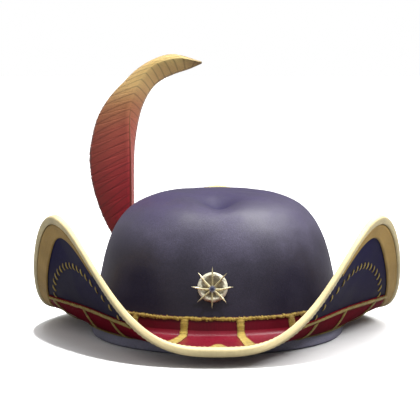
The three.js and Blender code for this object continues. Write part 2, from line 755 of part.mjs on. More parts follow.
// One section of the feather: two vanes that fall back on either side of the quill's ridge.
function plumeSection(share, grooved) {
  const ridge = ridgeCurve.getPoint(share);
  const slim = Math.min(1, SLIM.foot * share, SLIM.tip * (1 - share) + SLIM.least);
  const outer = outerCurve.getPoint(share);
  const inner = innerCurve.getPoint(share);
  outer.y += OUTER_VANE_BACK * slim;
  inner.y += INNER_VANE_BACK * slim;
  const body = THREE.MathUtils.lerp(VANE.least, 1, slim);
  const thick = (grooved ? VANE.groove : VANE.lock) * body;
  const ridgeThick = VANE.ridge * body;
  const mid = outer.clone().lerp(ridge, 0.5);
  mid.y -= VANE.bulge * slim;
  const behind = (point, depth) => point.clone().add(new THREE.Vector3(0, depth, 0));
  return [
    outer,
    mid,
    behind(ridge, -ridgeThick / 2),
    inner,
    behind(inner, VANE.edge),
    behind(ridge, ridgeThick / 2 + thick),
    behind(mid, thick + VANE.edge / 2),
    behind(outer, VANE.edge),
  ];
}

function quillSection(height, radius) {
  const centre = new THREE.Vector3(PLUME_FOOT.x, plumeDepth(height), height);
  return Array.from({ length: QUILL.sides }, (unused, k) => {
    const turn = Math.PI - k * 2 * Math.PI / QUILL.sides;
    return centre.clone().add(
      new THREE.Vector3(radius * Math.cos(turn), -radius * Math.sin(turn), 0));
  });
}

function makePlume() {
  const sections = [
    quillSection(PLUME_FOOT.height, QUILL.footRadius),
    quillSection(PLUME_FOOT.height + QUILL.taper, QUILL.radius),
    quillSection(PLUME_FOOT.height + QUILL.length, QUILL.radius),
  ];
  for (let lock = 0; lock < LOCKS; lock += 1) {
    sections.push(plumeSection(lock / LOCKS, true));
    sections.push(plumeSection((lock + LOCK_TOP) / LOCKS, false));
  }
  sections.push(plumeSection(1, true));
  return loft(sections, false);
}

// Socket: a short sleeve on the back of the crown with a pad that follows the felt.
const SOCKET = {
  bottom: 28, top: 44, radius: 4.2, sides: 16, boreSides: 12, padHalfWidth: 5, padStart: 1,
  padReach: 9, padBottom: 30, padTop: 43,
};
const PAD_TURN = 0.9;             // turns the pad from the hat's middle square to the oval wall
const CUTTER_HEIGHTS = [20, 32, 44, 56];

function toManifold(geometry) {
  const vertProperties = Float32Array.from(geometry.getAttribute('position').array);
  const triVerts = Uint32Array.from(geometry.index.array);
  return new wasm.Manifold(new wasm.Mesh({ numProp: 3, vertProperties, triVerts }));
}

function fromManifold(solid) {
  const mesh = solid.getMesh();
  const result = new THREE.BufferGeometry();
  result.setAttribute('position', new THREE.Float32BufferAttribute(mesh.vertProperties, 3));
  result.setIndex(Array.from(mesh.triVerts));
  return result;
}

// A round rod that leans with the quill.
function leaningRod(bottom, top, radius, sides) {
  const ring = (height) => Array.from({ length: sides }, (unused, k) => {
    const turn = 2 * Math.PI * k / sides;
    return new THREE.Vector3(PLUME_FOOT.x + radius * Math.cos(turn),
      plumeDepth(height) + radius * Math.sin(turn), height);
  });
  return toManifold(loft([ring(bottom), ring(top)], false));
}

// The crown grown by the clearance, as a solid to cut with.
function crownCutter() {
  const top = CUTTER_HEIGHTS.length - 1;
  const solid = new SolidBuilder();
  const skin = innerColumns.map(({ angle }) => (
    CUTTER_HEIGHTS.map((height) => crownWall(angle, height, GAP))));
  const axis = [0, top].map((row) => new THREE.Vector3(0, 0, CUTTER_HEIGHTS[row]));
  for (let c = 0; c < skin.length; c += 1) {
    const here = skin[c];
    const next = skin[(c + 1) % skin.length];
    for (let i = 0; i < top; i += 1) {
      solid.quad(here[i], next[i], next[i + 1], here[i + 1]);
    }
    solid.triangle(axis[0], next[0], here[0]);
    solid.triangle(axis[1], here[top], next[top]);
  }
  return toManifold(solid.geometry());
}

function makeSocket() {
  const sleeve = leaningRod(SOCKET.bottom, SOCKET.top, SOCKET.radius, SOCKET.sides);
  const bore = leaningRod(
    PLUME_FOOT.height - GAP, SOCKET.top + 1, QUILL.radius + GAP, SOCKET.boreSides);
  const towardAxis = new THREE.Vector3(-PLUME_FOOT.x, -PLUME_FOOT.depth * PAD_TURN, 0).normalize();
  const across = new THREE.Vector3(-towardAxis.y, towardAxis.x, 0);
  const ring = (height) => {
    const centre = new THREE.Vector3(PLUME_FOOT.x, plumeDepth(height), height);
    const corner = (reach, side) => centre.clone()
      .addScaledVector(towardAxis, reach)
      .addScaledVector(across, side * SOCKET.padHalfWidth);
    const { padStart, padReach } = SOCKET;
    return [corner(padStart, -1), corner(padReach, -1), corner(padReach, 1), corner(padStart, 1)];
  };
  const pad = toManifold(loft([ring(SOCKET.padBottom), ring(SOCKET.padTop)], false));
  return fromManifold(sleeve.add(pad).subtract(bore).subtract(crownCutter()));
}

// The hat

const finishes = {
  felt: material(COLOURS.felt, 0.7),
  binding: material(COLOURS.binding, 0.5),
  braid: material(COLOURS.braid, 0.7),
  ribbon: material(COLOURS.ribbon, 0.5),
  lace: material(COLOURS.lace, 0.45, 0.3),
  boss: material(COLOURS.boss, 0.35, 0.8),
  star: material(COLOURS.star, 0.25, 0.9),
  plume: material(COLOURS.plume, 0.65),
  socket: material(COLOURS.socket, 0.7),
};

const hat = new THREE.Group();
hat.position.y = CENTRING_SHIFT;

function addPiece(name, geometry, finish) {
  const mesh = new THREE.Mesh(geometry, finish);
  mesh.name = name;
  hat.add(mesh);
}

addPiece('crown', makeCrown(), finishes.felt);
addPiece('brim', makeBrim(), finishes.felt);
addPiece('edge_binding', makeBinding(), finishes.binding);
addPiece('edge_braid_outer', makeBraid(outerColumns, -1), finishes.braid);
addPiece('edge_braid_inner', makeBraid(innerColumns, 1), finishes.braid);
addPiece('crown_band', makeCrownBand(), finishes.ribbon);
addPiece('brim_band_outer', makeBrimRibbon(outerColumns, -1), finishes.ribbon);
addPiece('brim_band_inner', makeBrimRibbon(innerColumns, 1), finishes.ribbon);
addPiece('lace_crown', makeCrownLace(), finishes.lace);
addPiece('lace_outer', makeUnderLace(), finishes.lace);
addPiece('lace_lobe_left', makeLobeLace(60), finishes.lace);
addPiece('lace_lobe_rear', makeLobeLace(180), finishes.lace);
addPiece('lace_lobe_right', makeLobeLace(300), finishes.lace);
addPiece('badge_boss', makeBoss(), finishes.boss);
addPiece('badge_star', makeStar(), finishes.star);
addPiece('plume', makePlume(), finishes.plume);
addPiece('plume_socket', makeSocket(), finishes.socket);

export default hat;
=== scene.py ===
"""Looks of a felt tricorn hat with ribbons, gold lace, a bound edge, a star badge and a plume.

Forms are worked out in millimetres round the hat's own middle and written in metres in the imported
model's frame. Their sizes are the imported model's, but the braid lies 0.3 nearer to the binding,
where a dark line would show, and the binding is up to 22 percent slimmer on the slopes. Angles
run from the front point of the brim towards -X.
"""

import logging
import math
from abc import ABC, abstractmethod
from collections.abc import Callable, Sequence
from dataclasses import dataclass
from enum import Enum

import bmesh
import bpy
import numpy as np
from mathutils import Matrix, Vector


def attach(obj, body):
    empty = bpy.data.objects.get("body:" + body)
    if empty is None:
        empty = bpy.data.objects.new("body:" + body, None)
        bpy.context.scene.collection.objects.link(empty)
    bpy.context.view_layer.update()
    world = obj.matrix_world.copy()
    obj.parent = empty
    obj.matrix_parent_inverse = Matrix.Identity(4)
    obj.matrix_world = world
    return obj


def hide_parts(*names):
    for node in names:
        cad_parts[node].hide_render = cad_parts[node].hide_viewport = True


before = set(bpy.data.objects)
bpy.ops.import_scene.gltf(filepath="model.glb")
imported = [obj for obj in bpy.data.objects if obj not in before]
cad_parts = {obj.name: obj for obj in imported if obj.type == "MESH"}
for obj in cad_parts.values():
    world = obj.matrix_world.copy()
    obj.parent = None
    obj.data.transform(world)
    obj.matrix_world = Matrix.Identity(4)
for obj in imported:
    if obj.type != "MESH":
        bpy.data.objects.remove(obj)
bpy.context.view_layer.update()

LOG = logging.getLogger("hat")
MM = 0.001
FULL_TURN = 2 * math.pi
GAP = 0.3
OVAL = 1.136
CENTRING_SHIFT = 1.46
BODY = "root"
WELD_DISTANCE = 1e-6
WHITE = (1.0, 1.0, 1.0, 1.0)

Numbers = float | np.ndarray
Colour = tuple[float, float, float]
Place = tuple[float, float, float]
Feed = float | tuple[float, ...] | bpy.types.NodeSocket
Surface = Callable[[Numbers], np.ndarray]
Stations = Sequence[tuple[float, Colour]]


class Slot(Enum):
    """Material slots of the record."""

    FELT = "felt"
    BINDING = "binding"
    BRAID = "braid"
    RIBBON = "ribbon"
    LACE = "gold_lace"
    BOSS = "boss_metal"
    STAR = "star_metal"
    FEATHER = "feather"
    SOCKET = "socket_felt"


class Face(Enum):
    """The two faces of the brim."""

    UPPER = 1
    UNDER = -1


# Curves and forms


def lerp(a: Numbers, b: Numbers, share: Numbers) -> Numbers:
    """Straight mix of a and b."""
    return a + (b - a) * share


def unit(vectors: np.ndarray) -> np.ndarray:
    """Vectors of length one."""
    return vectors / np.maximum(np.linalg.norm(vectors, axis=-1, keepdims=True), 1e-9)


def stack(x: Numbers, y: Numbers, z: Numbers) -> np.ndarray:
    """Points from their coordinates."""
    return np.stack(np.broadcast_arrays(x, y, z), axis=-1)


def run_length(points: np.ndarray) -> np.ndarray:
    """Way along a line of points."""
    return np.r_[0, np.cumsum(np.linalg.norm(np.diff(points, axis=0), axis=-1))]


def turn_from_front(angle: Numbers) -> Numbers:
    """Angle from the front point on either side."""
    turn = np.mod(angle, FULL_TURN)
    return np.degrees(np.minimum(turn, FULL_TURN - turn))


def around(count: int) -> np.ndarray:
    """Even angles round the hat, as a column."""
    return (np.arange(count) / count * FULL_TURN)[:, None]


class SmoothCurve:
    """A centripetal curve through a few knots, read at positions counted in knots."""

    def __init__(self, knots: Sequence[Sequence[float]]) -> None:
        """Keeps the knots."""
        self.knots = np.asarray(knots, float)
        self.last = len(self.knots) - 1

    def at(self, position: Numbers) -> np.ndarray:
        """Points of the curve.

        Args:
            position: Positions from 0 to the number of the last knot.

        Returns:
            One point for each position.
        """
        knots = self.knots
        before, after = 2 * knots[0] - knots[1], 2 * knots[-1] - knots[-2]
        padded = np.vstack([before, knots, after])
        position = np.clip(np.asarray(position, float), 0, self.last)
        start = np.minimum(position.astype(int), self.last - 1)
        weight = (position - start)[..., None]
        p0, p1, p2, p3 = (padded[start + k] for k in range(4))
        steps = [np.sqrt(np.linalg.norm(b - a, axis=-1))[..., None]
                 for a, b in ((p0, p1), (p1, p2), (p2, p3))]
        d0, d1, d2 = (np.maximum(step, 1e-4) for step in steps)
        leave = ((p1 - p0) / d0 - (p2 - p0) / (d0 + d1) + (p2 - p1) / d1) * d1
        arrive = ((p2 - p1) / d1 - (p3 - p1) / (d1 + d2) + (p3 - p2) / d2) * d1
        square = -3 * p1 + 3 * p2 - 2 * leave - arrive
        cube = 2 * p1 - 2 * p2 + leave + arrive
        return p1 + weight * (leave + weight * (square + weight * cube))


@dataclass(frozen=True)
class CrownSizes:
    """Driving sizes of the crown, in millimetres."""

    half_width: float = 88.5
    felt: float = 3.0
    dent_depth: float = 8.5
    dent_x: float = 1.5
    dent_y: float = -39
    dent_half_width: float = 13
    dent_half_length: float = 19
    dent_taper: float = 0.012
    dent_least: float = 0.45
    dent_from_height: float = 60
    band_bottom: float = 13.5
    line_bottom: float = 22.2
    line_top: float = 24.6


@dataclass(frozen=True)
class BrimSizes:
    """Driving sizes of the brim and what is sewn on it, in millimetres."""

    felt: float = 2.0
    root: float = 88.8
    root_height: float = 10.5
    point_reach: float = 126.7
    point_height: float = 9.9
    peak_reach: float = 123.9
    peak_height: float = 85.8
    rear_extra: float = 1.8
    rear_power: float = 6
    reach_power: float = 2.69
    height_power: float = 1.56
    curl_at_point: float = 3.2
    curl_at_peak: float = 1.5
    felt_end: float = 0.9
    felt_follow: float = 0.42
    full_lip: float = 3.4
    braid_gap: float = 0.2
    braid_from: float = 38
    line_bottom: float = 24.1
    line_top: float = 26.5
    fold_height: float = 17.6
    fold_share: float = 0.12
    red_point_half_angle: float = 25
    crease_share: float = 0.063
    crown_clearance: float = 0.1


CROWN_PROFILE = (
    (88.5, 1.6), (88.5, 12.8), (85.6, 25.5), (82.1, 41.2), (78.8, 56), (74.2, 69.4), (67.6, 80.8),
    (58.9, 89.5), (46, 95.6), (33, 98.3), (21, 98.9), (10, 99), (0, 99),
)
CROWN_FOOT = ((85.5, 0.7), (85.8, 0.15), (86.4, 0), (87.2, 0.05), (87.9, 0.45), (88.35, 1.0))


# Trim along the edge: degrees from the front, how far the binding's lips reach in from the middle
# of the edge, half its thickness, and how far from the middle the flat braid's inner side lies
EDGE_TRIM = (
    (0, 3.4, 2.9, 4.9), (16, 2.8, 2.7, 4.3), (30, 1.2, 2.4, 2.7), (42, 1.2, 2.4, 3.0),
    (51, 1.9, 2.5, 7.4), (58, 2.8, 2.8, 12.2), (70, 1.8, 2.6, 15.0), (88, 1.4, 2.4, 12.9),
    (105, 2.2, 2.5, 9.5), (150, 2.2, 2.5, 9.5), (180, 2.8, 2.8, 13.0),
)
TRIM_ROUNDING = 4


def edge_trim(angle: Numbers) -> list[np.ndarray]:
    """The trim's sizes, with the table's corners rounded off.

    Args:
        angle: Angles round the hat.

    Returns:
        The lips' reach, half the thickness and the braid's reach in millimetres.
    """
    turns, *columns = np.array(EDGE_TRIM, float).T
    places = [180 - np.abs(180 - np.abs(turn_from_front(angle) + step))
              for step in np.linspace(-TRIM_ROUNDING, TRIM_ROUNDING, 9)]
    return [np.mean([np.interp(place, turns, column) for place in places], axis=0)
            for column in columns]


class HatForm:
    """The crown's and the brim's surfaces as formulas."""

    WALL_END = 8
    WALL_STEPS = 801
    NOWHERE = 9.0

    def __init__(self, crown: CrownSizes, brim: BrimSizes) -> None:
        """Keeps the sizes and prepares the crown's profile.

        Args:
            crown: Sizes of the crown.
            brim: Sizes of the brim.
        """
        self.crown_sizes = crown
        self.brim_sizes = brim
        self.profile = SmoothCurve(CROWN_PROFILE)
        self.wall_knots = np.linspace(0, self.WALL_END, self.WALL_STEPS)
        self.wall_heights = self.profile.at(self.wall_knots)[:, 1]

    def plan(self, angle: Numbers, half_width: Numbers, height: Numbers) -> np.ndarray:
        """Points on the hat's oval."""
        return stack(-half_width * np.sin(angle), -OVAL * half_width * np.cos(angle), height)

    def crown_base(self, angle: Numbers, knot: Numbers) -> np.ndarray:
        """Points of the crown without its dent."""
        row = self.profile.at(knot)
        return self.plan(angle, np.maximum(row[..., 0], 0), row[..., 1])

    def crown_normal(self, angle: Numbers, knot: Numbers) -> np.ndarray:
        """Directions out of the crown.

        Args:
            angle: Angles round the hat.
            knot: Positions up the profile.

        Returns:
            Unit vectors.
        """
        step = 0.01
        along = self.crown_base(angle + step, knot) - self.crown_base(angle - step, knot)
        below = np.maximum(np.asarray(knot, float) - step, 0)
        up = self.crown_base(angle, knot + step) - self.crown_base(angle, below)
        normal = unit(np.cross(up, along))
        on_top = np.broadcast_to(knot > self.profile.last - 2 * step, normal.shape[:-1])
        return np.where(on_top[..., None], np.array([0.0, 0.0, 1.0]), normal)

    def dent_depth(self, point: np.ndarray) -> np.ndarray:
        """How deep the thumb mark is at points of the crown.

        Args:
            point: Points of the crown without its dent.

        Returns:
            Depths in millimetres.
        """
        size = self.crown_sizes
        forward = size.dent_y - point[..., 1]
        width = size.dent_half_width * np.maximum(size.dent_least, 1 - size.dent_taper * forward)
        across = (point[..., 0] - size.dent_x) / width
        length = forward / size.dent_half_length
        depth = size.dent_depth * np.exp(-across**2 - length**2)
        return np.where(point[..., 2] > size.dent_from_height, depth, 0)

    def crown(self, angle: Numbers, knot: Numbers, offset: Numbers) -> np.ndarray:
        """Points of the crown, offset millimetres out of the felt's outside."""
        base = self.crown_base(angle, knot)
        return base + self.crown_normal(angle, knot) * (offset - self.dent_depth(base))[..., None]

    def crown_wall(self, angle: Numbers, height: Numbers, offset: Numbers) -> np.ndarray:
        """Points of the crown's side by height."""
        knot = np.interp(height, self.wall_heights, self.wall_knots)
        return self.crown(angle, knot, offset)

    def lobe(self, angle: Numbers) -> Numbers:
        """How far up a cocked lobe an angle is."""
        return (1 - np.cos(3 * angle)) / 2

    def rise(self, angle: Numbers) -> Numbers:
        """Height of the brim's edge.

        Args:
            angle: Angles round the hat.

        Returns:
            Heights of the middle of the binding.
        """
        size = self.brim_sizes
        rear = size.rear_extra * np.maximum(0, -np.cos(angle)) ** size.rear_power
        lifted = self.lobe(angle) ** size.height_power
        return lerp(size.point_height, size.peak_height + rear, lifted)

    def brim(self, angle: Numbers, share: Numbers) -> np.ndarray:
        """Points in the middle of the brim's felt.

        Args:
            angle: Angles round the hat.
            share: 0 at the crown and 1 at the middle of the binding.

        Returns:
            The points.
        """
        size = self.brim_sizes
        lobe = self.lobe(angle)
        reach = lerp(size.point_reach, size.peak_reach, lobe ** size.reach_power)
        curl = lerp(size.curl_at_point, size.curl_at_peak, lobe)
        lifted = np.maximum(share, 0) ** curl
        height = size.root_height + (self.rise(angle) - size.root_height) * lifted
        return self.plan(angle, lerp(size.root, reach, share), height)

    def brim_along(self, angle: Numbers, share: Numbers) -> np.ndarray:
        """Directions round the brim."""
        step = 0.002
        return self.brim(angle + step, share) - self.brim(angle - step, share)

    def brim_outward(self, angle: Numbers, share: Numbers) -> np.ndarray:
        """Directions across the brim, in millimetres for the whole width.

        Args:
            angle: Angles round the hat.
            share: Shares of the brim's width.

        Returns:
            Vectors whose length is the width's stretch there.
        """
        step = 0.002
        low = np.maximum(share - step, 0)
        reach = np.asarray(share + step - low)[..., None]
        return (self.brim(angle, share + step) - self.brim(angle, low)) / reach

    def brim_normal(self, angle: Numbers, share: Numbers) -> np.ndarray:
        """Directions out of the brim's upper face."""
        return unit(np.cross(self.brim_along(angle, share), self.brim_outward(angle, share)))

    def brim_face(self, angle: Numbers, share: Numbers, face: Face,
                  offset: Numbers) -> np.ndarray:
        """Points over one face of the brim, kept clear of the crown.

        Args:
            angle: Angles round the hat.
            share: Shares of the brim's width.
            face: Which face.
            offset: Millimetres out of that face of the felt.

        Returns:
            The points.
        """
        size = self.brim_sizes
        half, least = size.felt / 2, size.root + size.crown_clearance
        away = np.asarray(face.value * (half + offset))[..., None]
        point = self.brim(angle, share) + self.brim_normal(angle, share) * away
        half_width = np.hypot(point[..., 0], point[..., 1] / OVAL)
        grown = np.maximum(1, least / half_width)
        return stack(point[..., 0] * grown, point[..., 1] * grown, point[..., 2])

    def fold(self, angle: Numbers, spot: Numbers, offset: Numbers) -> np.ndarray:
        """Points of the hollow fold where the crown's ribbon turns out onto the brim.

        Args:
            angle: Angles round the hat.
            spot: 0 on the crown and 1 on the brim.
            offset: Millimetres out of the felt.

        Returns:
            The points.
        """
        size = self.brim_sizes
        start = self.crown_wall(angle, size.fold_height, offset)
        end = self.brim_face(angle, size.fold_share, Face.UPPER, offset)
        corner = self.crown_wall(angle, self.crown_sizes.band_bottom, offset)
        corner[..., 2] = size.root_height + size.felt / 2 + offset
        spot = spot[..., None]
        return lerp(lerp(start, corner, spot), lerp(corner, end, spot), spot)

    def share_at_height(self, angle: Numbers, height: Numbers) -> Numbers:
        """Where the brim reaches a height.

        Args:
            angle: Angles round the hat.
            height: Height of the middle of the felt.

        Returns:
            Shares of the brim's width, or a large number where it stays lower.
        """
        size = self.brim_sizes
        rise = self.rise(angle)
        curl = lerp(size.curl_at_point, size.curl_at_peak, self.lobe(angle))
        reachable = rise > height
        span = np.where(reachable, rise - size.root_height, 1)
        share = ((height - size.root_height) / span) ** (1 / curl)
        return np.where(reachable, share, self.NOWHERE)


class BrimLines:
    """Where the ribbon, the gold lines and the braid run across the brim."""

    STEPS = 720
    WINDOW = 70
    HALVINGS = 18
    LEAST_MM = 0.6

    def __init__(self, form: HatForm) -> None:
        """Works the lines out at a fine step round the hat.

        Args:
            form: The hat's surfaces.
        """
        self.form = form
        size = form.brim_sizes
        self.angle = np.linspace(0, FULL_TURN, self.STEPS + 1)
        self.edge_line = form.brim(self.angle, np.ones(self.STEPS + 1))
        turn = turn_from_front(self.angle)
        lip, _, braid_reach = edge_trim(self.angle)
        inward = size.felt_end - size.felt_follow * (size.full_lip - lip)
        near_end = 1 - self._share_at_distance(size.felt_end)
        self.felt = 1 - near_end * inward / size.felt_end
        self.edge = self._share_at_distance(lip + size.braid_gap)
        self.per_mm = 1 / np.linalg.norm(form.brim_outward(self.angle, self.edge), axis=-1)
        least = self.LEAST_MM * self.per_mm
        braid = np.minimum(self._share_at_distance(braid_reach), self.edge - least)
        has_braid = turn > size.braid_from
        limit = np.where(has_braid, braid, self.edge) - least
        self.line_top = np.minimum(form.share_at_height(self.angle, size.line_top), limit)
        self.line_bottom = form.share_at_height(self.angle, size.line_bottom)
        self.braid_in = braid
        red_point = turn < size.red_point_half_angle
        self.ribbon_end = np.where(red_point, self.edge, self.line_top)

    def _edge_distance(self, point: np.ndarray) -> np.ndarray:
        """Distance from the edge of one point for each of the table's angles.

        Args:
            point: The points.

        Returns:
            Distances in millimetres.
        """
        middle = np.arange(self.STEPS + 1)[:, None]
        index = (middle + np.arange(-self.WINDOW, self.WINDOW)) % self.STEPS
        start, run = self.edge_line[index], self.edge_line[index + 1] - self.edge_line[index]
        reach = ((point[:, None] - start) * run).sum(-1) / (run * run).sum(-1)
        nearest = start + np.clip(reach, 0, 1)[..., None] * run
        return np.linalg.norm(nearest - point[:, None], axis=-1).min(axis=1)

    def _share_at_distance(self, distance: Numbers) -> np.ndarray:
        """Where the brim is so far from its edge, found by halving.

        Args:
            distance: Distances from the edge.

        Returns:
            One share of the brim's width for each of the table's angles.
        """
        low, high = np.zeros(self.STEPS + 1), np.ones(self.STEPS + 1)
        for _ in range(self.HALVINGS):
            middle = (low + high) / 2
            inside = self._edge_distance(self.form.brim(self.angle, middle)) > distance
            low, high = np.where(inside, middle, low), np.where(inside, high, middle)
        return low

    def at(self, line: np.ndarray, angle: Numbers) -> np.ndarray:
        """Reads one of the lines."""
        return np.interp(np.mod(angle, FULL_TURN), self.angle, line)


# Meshes


def cloth_map(points: np.ndarray, ring: bool, tube: bool) -> np.ndarray:
    """Lays a grid of points out flat, in millimetres.

    Args:
        points: Grid of columns and rows.
        ring: Whether the last column joins the first.
        tube: Whether the last row joins the first.

    Returns:
        For each corner of the opened grid, the way along and the way across.
    """
    if ring:
        points = np.concatenate([points, points[:1]])
    if tube:
        points = np.concatenate([points, points[:, :1]], axis=1)
    middle = points[:, points.shape[1] // 3]
    along = run_length(middle)
    steps = np.linalg.norm(np.diff(points, axis=1), axis=-1).mean(axis=0)
    across = np.r_[0, np.cumsum(steps)]
    return np.stack(np.meshgrid(along, across, indexing="ij"), axis=-1)


class MeshBuilder:
    """Gathers the grids and strands of one piece."""

    def __init__(self, name: str) -> None:
        """Starts an empty piece.

        Args:
            name: Name of the piece.
        """
        self.name = name
        self.points: list[np.ndarray] = []
        self.quads: list[np.ndarray] = []
        self.cloth: list[np.ndarray] = []
        self.tone: list[np.ndarray] = []
        self.count = 0

    def _add(self, points: np.ndarray, quads: np.ndarray, cloth: np.ndarray,
             tone: np.ndarray) -> None:
        """Adds quads, turned outward where they enclose a space.

        Args:
            points: Their points.
            quads: Four point numbers for each.
            cloth: Place of each corner in the cloth.
            tone: One value a point.
        """
        a, b, c, d = (points[quads[:, k]] for k in range(4))
        volume = (a * np.cross(b, c)).sum() + (a * np.cross(c, d)).sum()
        if volume < 0:
            quads, cloth = quads[:, ::-1], cloth[:, ::-1]
        self.points.append(points)
        self.quads.append(quads + self.count)
        self.cloth.append(cloth)
        self.tone.append(tone)
        self.count += len(points)

    def grid(self, points: np.ndarray, ring: bool = False, tube: bool = False,
             cloth: np.ndarray | None = None, tone: Numbers = 0.5) -> "MeshBuilder":
        """Adds a grid of quads.

        Args:
            points: Grid of columns and rows.
            ring: Whether the last column joins the first.
            tube: Whether the last row joins the first. Its open ends are closed.
            cloth: Place of each corner in the cloth, or None to measure it.
            tone: A value, or one a point, that the finish may read.

        Returns:
            This builder.
        """
        columns, rows = points.shape[:2]
        if cloth is None:
            cloth = cloth_map(points, ring, tube)
        c, r = np.meshgrid(np.arange(columns if ring else columns - 1),
                           np.arange(rows if tube else rows - 1), indexing="ij")
        c, r = c.ravel(), r.ravel()
        corners = ((c, r), (c + 1, r), (c + 1, r + 1), (c, r + 1))
        quads = np.stack([(i % columns) * rows + j % rows for i, j in corners], axis=1)
        places = np.stack([cloth[i, j] for i, j in corners], axis=1)
        if tube and not ring:
            cap = np.array([(0, i, i + 1, i + 2) for i in range(1, rows - 2, 2)])
            last = (columns - 1) * rows
            quads = np.vstack([quads, cap[:, ::-1], cap + last])
            places = np.concatenate([places, cloth[0, cap[:, ::-1]], cloth[columns - 1, cap]])
        tones = np.broadcast_to(tone, (columns, rows)).astype(float).ravel()
        self._add(points.reshape(-1, 3), quads, places, tones)
        return self

    def strands(self, low: np.ndarray, high: np.ndarray, radius: Numbers, arch: np.ndarray,
                seed: int, sides: int = 4, taper: float = 0.55) -> None:
        """Adds threads that lie side by side on a surface.

        Args:
            low: For each thread, its points on the surface.
            high: The same points one unit above it.
            radius: Thickness of a thread, as a half, or one value a point.
            arch: Height of the thread's middle at each point, in those units.
            seed: Seed of the threads' tones.
            sides: Sides of a thread, an even number.
            taper: Thickness of the ends as a share.
        """
        count, size = low.shape[:2]
        path = low + (high - low) * np.reshape(arch, (-1, size, 1))
        normal = unit(high - low)
        side = unit(np.cross(np.gradient(path, axis=1), normal))
        thin = np.ones(size)
        thin[0] = thin[-1] = taper
        thick = np.broadcast_to(radius * thin, (count, size))
        turn = (np.arange(sides) + 0.5) / sides * FULL_TURN
        ring = (path[:, :, None]
                + normal[:, :, None] * (np.cos(turn)[:, None] * thick[..., None, None])
                + side[:, :, None] * (np.sin(turn)[:, None] * thick[..., None, None]))
        n, k, s = np.meshgrid(np.arange(count), np.arange(size - 1), np.arange(sides),
                              indexing="ij")
        n, k, s = n.ravel(), k.ravel(), s.ravel()
        corners = ((0, 0), (1, 0), (1, 1), (0, 1))
        quads = np.stack([(n * size + k + i) * sides + (s + j) % sides for i, j in corners], axis=1)
        length = run_length(path[0])
        places = np.stack([np.stack([length[k + i], (s + j) / sides], axis=-1)
                           for i, j in corners], axis=1)
        cap = np.array([(0, i, i + 1, i + 2) for i in range(1, sides - 2, 2)])
        starts = (np.arange(count) * size * sides)[:, None, None]
        caps = np.concatenate([(cap[:, ::-1] + starts).reshape(-1, 4),
                               (cap + starts + (size - 1) * sides).reshape(-1, 4)])
        quads = np.vstack([quads, caps])
        places = np.concatenate([places, np.zeros((len(caps), 4, 2))])
        tones = np.random.default_rng(seed).uniform(0, 1, count).repeat(size * sides)
        self._add(ring.reshape(-1, 3), quads, places, tones)

    def build(self, material: bpy.types.Material, slot: Slot, replaces: tuple[str, ...] = (),
              smooth: bool = True, weld: bool = False) -> None:
        """Makes the object, dresses it and ties it to the frame.

        Args:
            material: Finish of the piece.
            slot: Slot of the record that the finish belongs to. Not used.
            replaces: CAD nodes that the piece stands for.
            smooth: Whether its faces are shaded smoothly.
            weld: Whether corners that lie together are joined.
        """
        points = (np.vstack(self.points) + [0, CENTRING_SHIFT, 0]) * MM
        quads = np.vstack(self.quads)
        mesh = bpy.data.meshes.new(self.name)
        mesh.vertices.add(len(points))
        mesh.vertices.foreach_set("co", points.ravel())
        mesh.loops.add(quads.size)
        mesh.loops.foreach_set("vertex_index", quads.ravel())
        mesh.polygons.add(len(quads))
        mesh.polygons.foreach_set("loop_start", np.arange(len(quads)) * 4)
        mesh.update(calc_edges=True)
        layer = mesh.uv_layers.new(name="Cloth")
        layer.data.foreach_set("uv", np.concatenate(self.cloth).astype(np.float32).ravel())
        tone = mesh.attributes.new("Tone", "FLOAT", "POINT")
        tone.data.foreach_set("value", np.concatenate(self.tone).astype(np.float32))
        if weld:
            self._weld(mesh)
        mesh.polygons.foreach_set("use_smooth", np.full(len(mesh.polygons), smooth))
        mesh.validate()
        piece = bpy.data.objects.new(self.name, mesh)
        bpy.context.scene.collection.objects.link(piece)
        piece.data.materials.append(material)
        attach(piece, BODY)
        if replaces:
            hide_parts(*replaces)
        triangles = sum(len(face.vertices) - 2 for face in mesh.polygons)
        LOG.info("%s: %d triangles, %s", self.name, triangles, material.name)

    def _weld(self, mesh: bpy.types.Mesh) -> None:
        """Joins corners that lie together.

        Args:
            mesh: The mesh to change.
        """
        work = bmesh.new()
        work.from_mesh(mesh)
        bmesh.ops.remove_doubles(work, verts=work.verts, dist=WELD_DISTANCE)
        work.to_mesh(mesh)
        work.free()


# Finishes


def channel(value: float) -> float:
    """A screen's channel of 0 to 255 as a linear one, by the screen's own curve."""
    value /= 255
    return value / 12.92 if value <= 0.04045 else ((value + 0.055) / 1.055) ** 2.4


def linear(red: float, green: float, blue: float) -> tuple[float, float, float, float]:
    """A screen colour as the shader takes it, with alpha 1."""
    return channel(red), channel(green), channel(blue), 1.0


